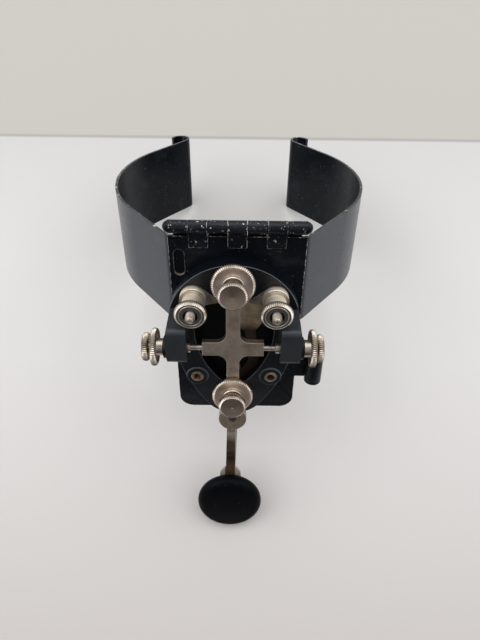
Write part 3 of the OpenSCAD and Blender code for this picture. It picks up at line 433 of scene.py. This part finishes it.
# Rust: dry and rough, brightest where it is thickest.
def rust(name, thin, thick):
    bloom_mm = 0.9
    finish, tree, gloss = new_finish(name)
    place = add(tree, "ShaderNodeTexCoord", {})["Object"]
    bloom = add(tree, "ShaderNodeTexNoise", {
        "Vector": place, "Scale": 1 / (bloom_mm * mm), "Detail": 4})[0]
    share = add(tree, "ShaderNodeMapRange", {"Value": bloom, "From Min": 0.4, "From Max": 0.62})[0]
    colour = add(tree, "ShaderNodeMix", {
        0: share, 6: linear(thin), 7: linear(thick)}, data_type="RGBA")[2]
    tree.links.new(colour, gloss.inputs["Base Color"])
    gloss.inputs["Roughness"].default_value = 0.9
    gloss.inputs["Specular IOR Level"].default_value = 0.2
    return finish


left_rust = rust("orange_rust", "#3f2414", "#a06238")
right_rust = rust("brown_rust", "#241811", "#6b4630")
eyelet_x, eyelet_y, bore_r, tube_r, rim_r, stain_t = 16.6, -66, 1.6, 2.1, 2.9, 0.06
rolled = [
    (bore_r, -1.8), (bore_r, 7.8), (1.7, 8.12), (1.95, 8.28), (2.25, 8.3), (2.6, 8.18),
    (2.86, 7.98), (rim_r, 7.82), (tube_r, 7.8), (tube_r, -1.5), (rim_r, -1.52), (2.88, -1.7),
    (2.6, -1.9), (2.2, -2), (1.85, -1.96), (bore_r, -1.8)]
eyelets = []
for side, bore_rust in ((-1, left_rust), (1, right_rust)):
    eyelet = turned("eyelet", rolled, 48)
    middle = on_bench(base_side + side * eyelet_x, eyelet_y, 0)
    set_down(eyelet, middle, plate_out, eyelet_nickel, bore_rust)
    for face in eyelet.data.polygons:
        offset = face.center - middle
        if (offset - offset.dot(plate_out) * plate_out).length < (bore_r + stain_t) * mm:
            face.material_index = 1
    eyelets.append(eyelet)
stands_for(joined("base_eyelets_rolled", *eyelets), "brass", "base_eyelets")


# Pillar bushings: threaded sleeves pressed into the pillars, with a collar outside. Turned from
# brass, dull and dark with age.


# Aged brass: khaki under a brown skin, with little gloss left.
def aged_brass(name, clean, dull, low_rough, high_rough):
    skin_mm = 4
    finish, tree, gloss = new_finish(name)
    place = add(tree, "ShaderNodeTexCoord", {})["Object"]
    cloud = add(tree, "ShaderNodeTexNoise", {
        "Vector": place, "Scale": 1 / (skin_mm * mm), "Detail": 6})[0]
    share = add(tree, "ShaderNodeMapRange", {"Value": cloud, "From Min": 0.35, "From Max": 0.65})[0]
    colour = add(tree, "ShaderNodeMix", {
        0: share, 6: linear(clean), 7: linear(dull)}, data_type="RGBA")[2]
    tree.links.new(colour, gloss.inputs["Base Color"])
    gloss.inputs["Metallic"].default_value = 1
    rough = add(tree, "ShaderNodeMapRange", {
        "Value": cloud, "To Min": low_rough, "To Max": high_rough})[0]
    tree.links.new(rough, gloss.inputs["Roughness"])
    skin = add(tree, "ShaderNodeBump", {"Height": cloud, "Strength": 0.1, "Distance": 0.05 * mm})[0]
    tree.links.new(skin, gloss.inputs["Normal"])
    return finish


dark_brass = aged_brass("blackened_brass", "#3c342a", "#221d18", 0.4, 0.6)
stands_for(worked_copy("pillar_bushings", 0.12, dark_brass), "brass", "pillar_bushings")


# Binding post studs: two threaded rods moulded into the base by their heads. Turned from brass and
# nickel plated, with a rounded end.
stud_nickel = nickel("worn_stud_nickel", "#d0c3b2", "#988b7a", 0.36, 0.52, 2)
pitch = 0.8
thread_depth, flank, crest = 0.55 * pitch, 0.42 * pitch, 0.16 * pitch


# A real thread: one tooth of the profile, screwed up the rod and cut off square at both ends
def threaded(name, diameter, low, high):
    root = diameter / 2 - thread_depth
    bpy.ops.object.select_all(action="DESELECT")
    bpy.ops.mesh.primitive_plane_add(size=mm)
    rod = bpy.context.object
    rod.name = name
    bpy.ops.object.mode_set(mode="EDIT")
    bpy.ops.mesh.select_mode(type="VERT")
    bpy.ops.mesh.merge(type="CENTER")
    bpy.ops.transform.translate(value=(root * mm, 0, (low - 2 * pitch) * mm))
    for r_step, h_step in ((thread_depth, flank), (0, crest), (-thread_depth, flank)):
        bpy.ops.mesh.extrude_vertices_move(
            TRANSFORM_OT_translate={"value": (r_step * mm, 0, h_step * mm)})
    bpy.ops.object.mode_set(mode="OBJECT")
    winding = rod.modifiers.new("thread", "SCREW")
    winding.screw_offset = pitch * mm
    winding.iterations = math.ceil((high - low) / pitch) + 3
    winding.steps = winding.render_steps = 28
    winding.use_merge_vertices = True
    winding.merge_threshold = seam_gap
    bpy.ops.object.modifier_apply(modifier="thread")
    bpy.ops.object.mode_set(mode="EDIT")
    for height, outward in ((high, 1), (low, -1)):
        bpy.ops.mesh.select_all(action="SELECT")
        bpy.ops.mesh.bisect(
            plane_co=(0, 0, height * mm), plane_no=(0, 0, outward), use_fill=True, clear_outer=True)
    bpy.ops.mesh.select_all(action="SELECT")
    bpy.ops.mesh.remove_doubles(threshold=seam_gap)
    bpy.ops.mesh.normals_make_consistent(inside=False)
    bpy.ops.mesh.select_all(action="DESELECT")
    bpy.ops.object.mode_set(mode="OBJECT")
    return rod


post_x, post_y, stud_d, core_r, foot_r, foot_h = 16.7, -22, 3.8, 1.5, 3.2, 2
thread_low, thread_top = 7, 24.1
stud_end = [
    (0, 0), (core_r, 0), (core_r, 23.9), (1.3, 24.35), (0.9, 24.7), (0.4, 24.83), (0, 24.85)]
stud_foot = [
    (0, 0), (foot_r, 0), (foot_r, foot_h), (stud_d / 2, foot_h), (stud_d / 2, thread_low + 0.4),
    (0, thread_low + 0.4)]
studs = []
for side in (-1, 1):
    stud = joined("stud", turned("core", stud_end, 32), turned("foot", stud_foot, 32),
                  threaded("thread", stud_d, thread_low, thread_top))
    set_down(stud, on_bench(base_side + side * post_x, post_y, 0), plate_out, stud_nickel)
    studs.append(stud)
stands_for(joined("post_studs_threaded", *studs), "nickel", "post_studs")


# Collars and lugs: turned collars round the studs, and pointed terminal lugs under them, punched
# from sheet. Both are nickel plated, the collars pale and the lugs dull.
dull_nickel = nickel("dull_nickel_plate", "#a89e95", "#6e645c", 0.38, 0.58, 4)
collar_nickel = nickel("pale_collar_nickel", "#fbf1e2", "#d9ccb9", 0.5, 0.7, 4)
stands_for(worked_copy("post_collars", 0.3, collar_nickel), "nickel", "post_collars")
for node in ("post_lug_left", "post_lug_right"):
    stands_for(worked_copy(node, 0.12, dull_nickel), "nickel", node)


# Anvil, strap and lower contact: the plate that the rear screw stops on, the strap from the right
# post to the nose, and the contact post riveted to it. Punched and turned from brass, with the
# anvil and the contact plated.

# Stained brass: greyish khaki at the rear, going dark brown where it runs under the lever, partly
# stain and partly painted shade from the lever over it.
stain_mm, stain_shade_start, stain_shade_end = 4, -38.5, -43
strap_brass, tree, gloss = new_finish("stained_shaded_strap_brass")
place = add(tree, "ShaderNodeTexCoord", {})["Object"]
cloud = add(tree, "ShaderNodeTexNoise", {
    "Vector": place, "Scale": 1 / (stain_mm * mm), "Detail": 5})[0]
share = add(tree, "ShaderNodeMapRange", {"Value": cloud, "From Min": 0.35, "From Max": 0.65})[0]
khaki = add(tree, "ShaderNodeMix", {
    0: share, 6: linear("#d2c0a2"), 7: linear("#a8967a")}, data_type="RGBA")[2]
along = add(tree, "ShaderNodeVectorMath", {0: place, 1: to_hinge}, operation="DOT_PRODUCT")["Value"]
under_lever_stain_shade = add(tree, "ShaderNodeMapRange", {
    "Value": along, "From Min": bench.dot(to_hinge) + stain_shade_start * mm,
    "From Max": bench.dot(to_hinge) + stain_shade_end * mm})[0]
# Dark brown under the lever: stain and painted shade
strap_colour = add(tree, "ShaderNodeMix", {
    0: under_lever_stain_shade, 6: khaki, 7: linear("#4e4037")}, data_type="RGBA")[2]
tree.links.new(strap_colour, gloss.inputs["Base Color"])
gloss.inputs["Metallic"].default_value = 1
strap_rough = add(tree, "ShaderNodeMapRange", {"Value": cloud, "To Min": 0.45, "To Max": 0.65})[0]
tree.links.new(strap_rough, gloss.inputs["Roughness"])
stands_for(worked_copy("contact_strap", 0.1, strap_brass), "brass", "contact_strap")
stands_for(worked_copy("rear_anvil", 0.15, dull_nickel), "nickel", "rear_anvil")
satin_nickel = nickel("satin_nickel_plate", "#dcd2c3", "#b3a692", 0.34, 0.5, 4)
stands_for(worked_copy("lower_contact", 0.12, satin_nickel), "nickel", "lower_contact")


# Return spring and its seat: a coil between the front screw and a pegged seat on the recess's
# floor. Wound from oiled spring wire and cut off at both ends; the seat is turned and plated.

# Oiled spring steel: a mid-grey shine that turns brown in patches.
oil_mm = 2
spring_steel, tree, gloss = new_finish("oiled_spring_steel")
place = add(tree, "ShaderNodeTexCoord", {})["Object"]
cloud = add(tree, "ShaderNodeTexNoise", {
    "Vector": place, "Scale": 1 / (oil_mm * mm), "Detail": 4})[0]
wire_colour = add(tree, "ShaderNodeMix", {
    0: cloud, 6: linear("#8f8e8a"), 7: linear("#4f4a44")}, data_type="RGBA")[2]
tree.links.new(wire_colour, gloss.inputs["Base Color"])
gloss.inputs["Metallic"].default_value = 1
wire_rough = add(tree, "ShaderNodeMapRange", {"Value": cloud, "To Min": 0.22, "To Max": 0.45})[0]
tree.links.new(wire_rough, gloss.inputs["Roughness"])

stands_for(worked_copy("spring_seat", 0.1, dull_nickel), "nickel", "spring_seat")
lever_up = Vector(joints["front_screw_turn"]["axis"])
spring_foot = Vector(joints["front_screw_turn"]["pos_m"])
wire_d, coil_r, coil_low, coil_high, coil_turns, pressed = 0.7, 2.35, -17.8, -4.6, 7, 0.955
bpy.ops.object.select_all(action="DESELECT")
bpy.ops.mesh.primitive_circle_add(
    vertices=10, radius=wire_d / 2 * mm, location=(coil_r * mm, 0, coil_low * mm),
    rotation=(math.pi / 2, 0, 0))
spring = bpy.context.object
spring.name = "return_spring_wound"
bpy.ops.object.transform_apply(location=True, rotation=True, scale=True)
winding = spring.modifiers.new("coil", "SCREW")
winding.screw_offset = (coil_high - coil_low) / coil_turns * mm
winding.iterations = coil_turns
winding.steps = winding.render_steps = 32
bpy.ops.object.modifier_apply(modifier="coil")
bpy.ops.object.mode_set(mode="EDIT")
bpy.ops.mesh.select_all(action="DESELECT")
bpy.ops.mesh.select_mode(type="EDGE")
bpy.ops.mesh.select_non_manifold()
bpy.ops.mesh.fill_holes(sides=0)
bpy.ops.mesh.select_all(action="SELECT")
bpy.ops.mesh.normals_make_consistent(inside=False)
bpy.ops.object.mode_set(mode="OBJECT")
set_down(spring, spring_foot, lever_up, spring_steel)
stands_for(spring, "steel", "return_spring")
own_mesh(spring)


# Lever, pins and upper contact: a flat cross-shaped lever on two pressed-in pivot pins, with a
# contact riveted into its front disc. Stamped brass in a worn warm-grey nickel, brighter along its
# rubbed edges, where the lighter edge colour is also a painted highlight.
lever_nickel = nickel("worn_lever_nickel", "#c9b8a6", "#938372", 0.34, 0.5, 7)
# Brighter edge nickel: partly rubbed plating, partly painted highlight
lever_edge_rub_and_highlight = nickel("worn_lever_edge_highlight", "#f0e6d8", "#c9bcab", 0.3, 0.45, 4)
pin_steel = nickel("rubbed_pin_steel", "#bdb4a9", "#8f867b", 0.24, 0.4, 2)
dark_nickel = nickel("blackened_nickel", "#6f655d", "#4a423c", 0.35, 0.5, 2)
stands_for(worked_copy("lever", 0.2, lever_nickel, lever_edge_rub_and_highlight), "nickel", "lever")
stands_for(worked_copy("trunnion_pins", 0.1, pin_steel), "steel", "trunnion_pins")
stands_for(worked_copy("upper_contact", 0.1, dark_nickel), "nickel", "upper_contact")


# Knob arm and knob: a gooseneck strip from the contact disc to the knob, which a screw from below
# holds over a washer. Plated strip, stained and rusting near the knob; brass washer; knob moulded
# in black phenolic.

# Stained nickel strip: lighter by the disc as painted light, brown-black along the strip, rusty at
# its low end, with pale dull ears at both sides of the knob's hole.
strip_middle, strip_half, ear_in, smudge_mm = -2.7, 2.3, 2.7, 3
lit_low, lit_high, rust_top, rust_low = 43, 50, 31, 24
strip_nickel, tree, gloss = new_finish("stained_nickel_strip")
place = add(tree, "ShaderNodeTexCoord", {})["Object"]
strip_place = add(tree, "ShaderNodeSeparateXYZ", {"Vector": place})
from_middle = add(tree, "ShaderNodeMath", {
    0: strip_place["X"], 1: strip_middle * mm}, operation="SUBTRACT")[0]
aside = add(tree, "ShaderNodeMath", {0: from_middle}, operation="ABSOLUTE")[0]
ears = add(tree, "ShaderNodeMapRange", {
    "Value": aside, "From Min": strip_half * mm, "From Max": ear_in * mm})[0]
# Painted light: the strip made lighter towards its top end by the disc
lit_disc_end = add(tree, "ShaderNodeMapRange", {
    "Value": strip_place["Z"], "From Min": lit_low * mm, "From Max": lit_high * mm})[0]
pale_ears_and_lit_end = add(tree, "ShaderNodeMath", {0: ears, 1: lit_disc_end}, operation="MAXIMUM")[0]
stain = add(tree, "ShaderNodeTexNoise", {
    "Vector": place, "Scale": 1 / (smudge_mm * mm), "Detail": 5})[0]
stained = add(tree, "ShaderNodeMapRange", {"Value": stain, "From Min": 0.35, "From Max": 0.62})[0]
strip_colour = add(tree, "ShaderNodeMix", {
    0: stained, 6: linear("#5c5046"), 7: linear("#463b33")}, data_type="RGBA")[2]
low_end = add(tree, "ShaderNodeMapRange", {
    "Value": strip_place["Z"], "From Min": rust_top * mm, "From Max": rust_low * mm})[0]
rust_share = add(tree, "ShaderNodeMath", {0: low_end, 1: stain}, operation="ADD")[0]
rusted = add(tree, "ShaderNodeMapRange", {"Value": rust_share, "From Min": 0.8, "From Max": 1.2})[0]
strip_rusty = add(tree, "ShaderNodeMix", {
    0: rusted, 6: strip_colour, 7: linear("#4d3928")}, data_type="RGBA")[2]
strip_pale_and_lit = add(tree, "ShaderNodeMix", {
    0: pale_ears_and_lit_end, 6: strip_rusty, 7: linear("#a99e92")}, data_type="RGBA")[2]
tree.links.new(strip_pale_and_lit, gloss.inputs["Base Color"])
dull_area = add(tree, "ShaderNodeMath", {0: rusted, 1: ears}, operation="MAXIMUM")[0]
strip_metal = add(tree, "ShaderNodeMapRange", {"Value": dull_area, "To Min": 1.0, "To Max": 0.1})[0]
tree.links.new(strip_metal, gloss.inputs["Metallic"])
strip_rough = add(tree, "ShaderNodeMapRange", {"Value": stain, "To Min": 0.3, "To Max": 0.55})[0]
tree.links.new(strip_rough, gloss.inputs["Roughness"])

stands_for(worked_copy("knob_arm", 0, strip_nickel), "nickel", "knob_arm")
dull_brass = aged_brass("aged_brass", "#a88f58", "#5f4c30", 0.35, 0.6)
stands_for(worked_copy("knob_washer", 0.1, dull_brass), "brass", "knob_washer")
stands_for(worked_copy("knob_screw", 0.1, dull_nickel), "nickel", "knob_screw")
knob_black = phenolic("satin_knob_phenolic", "#040508", "#08090d", 0.32, 0.46, 0.05)
stands_for(worked_copy("knob", 0.2, knob_black), "phenolic", "knob")


# Adjusting screws and lock nuts: the stop screw and the spring screw through the lever, each with
# a big knurled lock nut. Turned brass, threaded and straight knurled, nickel plated; the rear
# screw ends in a ball.
rim_nickel = nickel("grey_knurled_nickel", "#cabfb2", "#95897c", 0.2, 0.34, 5)
head_nickel = nickel("handled_nickel_face", "#ae9b8b", "#978474", 0.30, 0.42, 5)
nut_nickel = nickel("dished_nickel_face", "#dfcdbd", "#ab9989", 0.4, 0.55, 6)


# A straight knurl: every second column of a rounded rim drawn in, from its side and from its two
# faces. Its pitch is a little coarser than the real one's, so that it still shows.
knurl_pitch, knurl_depth, knurl_squeeze = 0.85, 0.26, 0.86


def knurl_columns(diameter):
    return 2 * round(math.pi * diameter / knurl_pitch)


def knurled(piece, inner_r, sides, middle):
    for vertex in piece.data.vertices:
        x, y, z = vertex.co / mm
        column = round(math.atan2(y, x) / (2 * math.pi / sides)) % sides
        vertex.select = column % 2 == 1 and math.hypot(x, y) > inner_r
    bpy.ops.object.select_all(action="DESELECT")
    bpy.context.view_layer.objects.active = piece
    piece.select_set(True)
    bpy.ops.object.mode_set(mode="EDIT")
    bpy.ops.mesh.select_mode(type="VERT")
    inward = 1 - knurl_depth / inner_r
    bpy.ops.transform.resize(
        value=(inward, inward, knurl_squeeze), center_override=(0, 0, middle * mm))
    bpy.ops.mesh.select_all(action="DESELECT")
    bpy.ops.object.mode_set(mode="OBJECT")
    return piece


rim_bulge, rim_w, face_margin, face_rise, front_facing = 1.0, 0.9, 1.15, 1, 0.6


# Points of a rounded rim, from its lower edge to its upper one
def round_rim(r, low, high, bulge=rim_bulge):
    middle, half = (low + high) / 2, (high - low) / 2
    turns = [math.radians(a) for a in range(-80, 81, 20)]
    return [(r - bulge + bulge * math.cos(a), middle + half * math.sin(a)) for a in turns]


# Gives the faces that look along a piece's axis, between two radii and above a height, its second
# finish
def faced(piece, place, axis, inner_r, outer_r, low):
    for face in piece.data.polygons:
        offset = face.center - place
        height = offset.dot(axis)
        r = (offset - height * axis).length
        in_ring = inner_r * mm < r < outer_r * mm and height > low * mm
        if in_ring and face.normal.dot(axis) > front_facing:
            face.material_index = 1


# A knurled head from its lower face up, with a round rim, a flat face and a dot in the middle
def thumb_head(low, diameter, height):
    r, top, sides = diameter / 2, low + height, knurl_columns(diameter)
    head = turned("head", [
        (0, low), (r - 1.3, low), *round_rim(r, low, top), (r - 1.05, top - 0.01),
        (r - 1.2, top - 0.06), (0.6, top - 0.06), (0.42, top - 0.12), (0.2, top - 0.5),
        (0, top - 0.6)], sides)
    return knurled(head, r - rim_w, sides, low + height / 2)


# The screws' thread, and how far up in its head each one's rod ends
screw_d, rod_in_head = 4.6, 0.5
ball_r, ball_z, ball_neck, on_axis = 1.8, -3.427, -2, 1e-6
head_d, head_h = 11.6, 3.2
for node, head_low, rod_low in (("rear_screw", 11.0, ball_z), ("front_screw", 8.5, -4.1)):
    turn = joints[node + "_turn"]
    parts = [thumb_head(head_low, head_d, head_h),
             threaded("thread", screw_d, rod_low, head_low + rod_in_head)]
    if node == "rear_screw":
        steps = [math.radians(a) for a in range(-90, 31, 12)]
        ball = [(ball_r * math.cos(a) + on_axis, ball_z + ball_r * math.sin(a)) for a in steps]
        parts.append(turned("ball", ball + [(0, ball_neck)], 32))
    screw = joined(node + "_knurled", *parts)
    middle, axis = Vector(turn["pos_m"]), Vector(turn["axis"])
    set_down(screw, middle, axis, rim_nickel, head_nickel)
    faced(screw, middle, axis, 0, head_d / 2 - face_margin, head_low + face_rise)
    stands_for(screw, "nickel", node)


# A knurled nut from its seat up, with a dished face and a hub
seat_gap, nut_bore_d = 0.05, 4.7


def lock_nut(diameter, thickness, hub_d, hub_h):
    r, hub, bore, top = diameter / 2, hub_d / 2, nut_bore_d / 2, thickness + hub_h
    sides = knurl_columns(diameter)
    nut = turned("nut", [
        (bore, seat_gap), (r - 1.2, seat_gap), *round_rim(r, seat_gap, thickness),
        (r - 1.1, thickness - 0.04), (r - 1.7, thickness - 0.42), (hub + 0.5, thickness - 0.5),
        (hub + 0.1, thickness - 0.4), (hub, thickness - 0.1), (hub, top - 0.3), (hub - 0.3, top),
        (bore + 0.4, top), (bore, top - 0.35), (bore, seat_gap)], sides)
    return knurled(nut, r - rim_w, sides, thickness / 2)


lock_d, lock_t, lock_hub_d, lock_hub_h = 17.4, 2.8, 8.8, 1.4
for node in ("rear_lock_nut", "front_lock_nut"):
    turn = joints[node + "_turn"]
    nut = lock_nut(lock_d, lock_t, lock_hub_d, lock_hub_h)
    nut.name = node + "_knurled"
    middle, axis = Vector(turn["pos_m"]), Vector(turn["axis"])
    set_down(nut, middle, axis, rim_nickel, nut_nickel)
    faced(nut, middle, axis, lock_hub_d / 2, lock_d / 2 - face_margin, face_rise)
    stands_for(nut, "nickel", node)


# Trunnion screws and lock nuts: cup-ended screws through the pillars, which carry the lever's
# pins, each with a knurled lock nut. Turned, threaded and knurled like the adjusting screws.
side_head_d, side_head_h = 11.8, 2.7
side_lock_d, side_lock_t, side_hub_d, side_hub_h, side_lock_face = 15.7, 2.6, 7.2, 2.4, 6.65
cup_r, cup_outer_r, cup_depth, cup_wall = 1.25, 2.25, 1.6, 2
for side, head_low, tip in (("left", 7.55, -9.3), ("right", 6.95, -9.9)):
    node = "trunnion_screw_" + side
    turn = joints[node + "_turn"]
    middle, axis = Vector(turn["pos_m"]), Vector(turn["axis"])
    cup = turned("cup", [
        (cup_r, tip + cup_depth), (cup_r, tip + 0.05), (cup_r + 0.1, tip),
        (cup_outer_r - 0.25, tip), (cup_outer_r, tip + 0.25), (cup_outer_r, tip + cup_wall),
        (0, tip + cup_wall), (0, tip + cup_depth), (cup_r, tip + cup_depth)], 32)
    screw = joined(node + "_knurled", thumb_head(head_low, side_head_d, side_head_h), cup,
                   threaded("thread", screw_d, tip + cup_wall - 0.2, head_low + rod_in_head))
    set_down(screw, middle, axis, rim_nickel, nut_nickel)
    faced(screw, middle, axis, 0, side_head_d / 2 - face_margin, head_low + face_rise)
    stands_for(screw, "nickel", node)

    node = "trunnion_lock_nut_" + side
    turn = joints[node + "_turn"]
    nut = lock_nut(side_lock_d, side_lock_t, side_hub_d, side_hub_h)
    nut.name = node + "_knurled"
    axis = Vector(turn["axis"])
    middle = Vector(turn["pos_m"]) + side_lock_face * mm * axis
    set_down(nut, middle, -axis, rim_nickel, nut_nickel)
    faced(nut, middle, -axis, side_hub_d / 2, side_lock_d / 2 - face_margin, face_rise)
    stands_for(nut, "nickel", node)


# Pressure washers and thumb nuts: the washer and the knurled nut of each binding post, which clamp
# a wire on the collar. Turned brass, nickel plated, bright on the nuts' knurled rims.
post_face = nickel("grey_nickel_face", "#a19b97", "#857e7a", 0.26, 0.38, 4)
knurl_nickel = nickel("knurled_nickel_plate", "#d9d1c6", "#a89c8c", 0.24, 0.42, 5)
nut_r, nut_t, grip_t, shoulder_r, nut_bore_r = 6.45, 10, 3.2, 4.2, 1.95
well_r, well_t, ring_r, bead_in, bead_out = 2.8, 1.2, 4.3, 4.45, 4.65
groove_in, groove_out, rim_in, knurl_in, nut_bulge = 4.75, 5.35, 5.5, 5.6, 0.9
nut_sides = knurl_columns(2 * nut_r)
well_edge, face_low, shoulder_top = well_r + 0.04, -1.5, 0.05 - grip_t
for side in ("left", "right"):
    node = "post_washer_" + side
    stands_for(worked_copy(node, 0.12, satin_nickel), "nickel", node)
    node = "post_nut_" + side
    turn = joints[node + "_turn"]
    nut = turned(node + "_knurled", [
        (nut_bore_r, -nut_t), (shoulder_r - 0.3, -nut_t), (shoulder_r, 0.3 - nut_t),
        (shoulder_r, -grip_t - 0.3), (shoulder_r + 0.2, -grip_t), (shoulder_r + 1, -grip_t),
        *round_rim(nut_r, -grip_t, 0, nut_bulge), (rim_in, -0.02), (groove_out, -0.12),
        (groove_in, -0.12), (bead_out, -0.02), (bead_in, 0), (ring_r, -0.12),
        (well_r + 0.05, -0.12), (well_r, -well_t), (nut_bore_r, -well_t), (nut_bore_r, -nut_t)],
        nut_sides)
    knurled(nut, knurl_in, nut_sides, -grip_t / 2)
    middle, axis = Vector(turn["pos_m"]), Vector(turn["axis"])
    set_down(nut, middle, axis, knurl_nickel, post_face, dark_brass, collar_nickel)
    faced(nut, middle, axis, well_edge, ring_r, face_low)
    faced(nut, middle, axis, groove_in - 0.03, groove_out + 0.05, face_low)
    for face in nut.data.polygons:
        height = (face.center - middle).dot(axis)
        r = (face.center - middle - height * axis).length
        if r < well_edge * mm and height > face_low * mm:
            face.material_index = 2
        elif height < shoulder_top * mm:
            face.material_index = 3
    stands_for(nut, "nickel", node)


# Studio: a pale paper floor with a faint tone step behind the key, soft light from the sides and
# from behind, and a camera above the key's front.

# Pale paper: matt and warm, with painted shade darkening it towards the front and towards a line
# behind the key, a thin line of painted shade along that line, and a greyer tone beyond it.
floor_r, floor_y, wall_line, wall_soft = 0.55, 0.28, 130 * mm, 1.5 * mm
crease_shade_in, crease_shade_out = 0.5 * mm, 1.6 * mm
front_start, front_end, rear_start, rear_end = -20 * mm, -175 * mm, 40 * mm, 125 * mm
paper_floor, tree, gloss = new_finish("pale_paper_floor")
place = add(tree, "ShaderNodeTexCoord", {})["Object"]
depth = add(tree, "ShaderNodeSeparateXYZ", {"Vector": place})["Y"]
behind = add(tree, "ShaderNodeMapRange", {
    "Value": depth, "From Min": wall_line - wall_soft, "From Max": wall_line + wall_soft})[0]
# Painted shade: the paper darkens towards the front
near = add(tree, "ShaderNodeMapRange", {
    "Value": depth, "From Min": front_start, "From Max": front_end})[0]
front_paper = add(tree, "ShaderNodeMix", {
    0: near, 6: linear("#d9d5d1"), 7: linear("#c5beb9")}, data_type="RGBA")[2]
# Painted shade: the paper darkens as it nears the line behind the key
far = add(tree, "ShaderNodeMapRange", {
    "Value": depth, "From Min": rear_start, "From Max": rear_end})[0]
rear_paper = add(tree, "ShaderNodeMix", {
    0: far, 6: front_paper, 7: linear("#cbc8c5")}, data_type="RGBA")[2]
paper = add(tree, "ShaderNodeMix", {
    0: behind, 6: rear_paper, 7: linear("#bcb8b0")}, data_type="RGBA")[2]
# A thin line of painted shade along the line, where a wall would meet the floor
off_line = add(tree, "ShaderNodeMath", {0: depth, 1: wall_line}, operation="SUBTRACT")[0]
distance = add(tree, "ShaderNodeMath", {0: off_line}, operation="ABSOLUTE")[0]
crease_shade = add(tree, "ShaderNodeMapRange", {
    "Value": distance, "From Min": crease_shade_in, "From Max": crease_shade_out,
    "To Min": 0.5, "To Max": 0})[0]
crease_shaded = add(tree, "ShaderNodeMix", {
    0: crease_shade, 6: paper, 7: linear("#8f8c88")}, data_type="RGBA")[2]
tree.links.new(crease_shaded, gloss.inputs["Base Color"])
gloss.inputs["Roughness"].default_value = 0.9
gloss.inputs["Specular IOR Level"].default_value = 0.1
bpy.ops.object.select_all(action="DESELECT")
bpy.ops.mesh.primitive_circle_add(
    vertices=96, radius=floor_r, fill_type="NGON", location=(0, floor_y, 0))
floor = bpy.context.object
floor.name = "floor"
bpy.ops.object.transform_apply(location=True, rotation=True, scale=True)
floor.data.materials.append(paper_floor)

# The room: dark in front of the key, light behind it, above it and to both sides
side_light, back_light, top_light = 0.45, 0.5, 0.85
dark_way, light_way, darkest, lightest = -0.55, 0.9, 0.02, 0.85
world = bpy.data.worlds.new("soft_studio")
bpy.context.scene.world = world
world.use_nodes = True
tree = world.node_tree
direction = add(tree, "ShaderNodeTexCoord", {})["Generated"]
way = add(tree, "ShaderNodeSeparateXYZ", {"Vector": direction})
sideways = add(tree, "ShaderNodeMath", {0: way["X"]}, operation="ABSOLUTE")[0]
up_share = add(tree, "ShaderNodeMath", {0: way["Z"], 1: top_light}, operation="MULTIPLY")[0]
up_back = add(tree, "ShaderNodeMath", {
    0: way["Y"], 1: back_light, 2: up_share}, operation="MULTIPLY_ADD")[0]
lit = add(tree, "ShaderNodeMath", {
    0: sideways, 1: side_light, 2: up_back}, operation="MULTIPLY_ADD")[0]
glow = add(tree, "ShaderNodeMapRange", {
    "Value": lit, "From Min": dark_way, "From Max": light_way,
    "To Min": darkest, "To Max": lightest})[0]
tree.links.new(glow, tree.nodes["Background"].inputs["Strength"])
tree.nodes["Background"].inputs["Color"].default_value = linear("#eff3f9")

# Three large soft lamps, aimed at the key
lamp_size, lamp_target = 0.8, Vector((0, 0, 0.05))
for name, lamp_place, power in (
        ("left_window", (-0.7, 0.1, 0.7), 3.2),
        ("right_fill", (0.7, 0.15, 0.6), 2.2),
        ("overhead", (0.05, 0.45, 0.9), 3.4)):
    lamp_data = bpy.data.lights.new(name, "AREA")
    lamp_data.shape = "SQUARE"
    lamp_data.size = lamp_size
    lamp_data.energy = power
    lamp = bpy.data.objects.new(name, lamp_data)
    bpy.context.scene.collection.objects.link(lamp)
    aim = (lamp_target - Vector(lamp_place)).to_track_quat("-Z", "Y").to_matrix().to_4x4()
    lamp.matrix_world = Matrix.Translation(lamp_place) @ aim

# The camera, placed over the bench and turned as the photograph was taken
camera_place, camera_lens = on_bench(1.34, 96.84, 181.44), 29.25
camera_data = bpy.data.cameras.new("camera")
camera_data.lens = camera_lens
camera_data.sensor_width = 36
camera_data.clip_start = 0.01
camera = bpy.data.objects.new("camera", camera_data)
bpy.context.scene.collection.objects.link(camera)
camera_right = (0.9999 * right + 0.0100 * to_hinge - 0.0075 * plate_out).normalized()
camera_up = (-0.0125 * right + 0.7991 * to_hinge - 0.6010 * plate_out).normalized()
camera_back = camera_right.cross(camera_up)
camera.matrix_world = Matrix.Translation(camera_place) @ Matrix(
    (camera_right, camera_up, camera_back)).transposed().to_4x4()
bpy.context.scene.camera = camera
bpy.context.scene.view_settings.view_transform = "Standard"
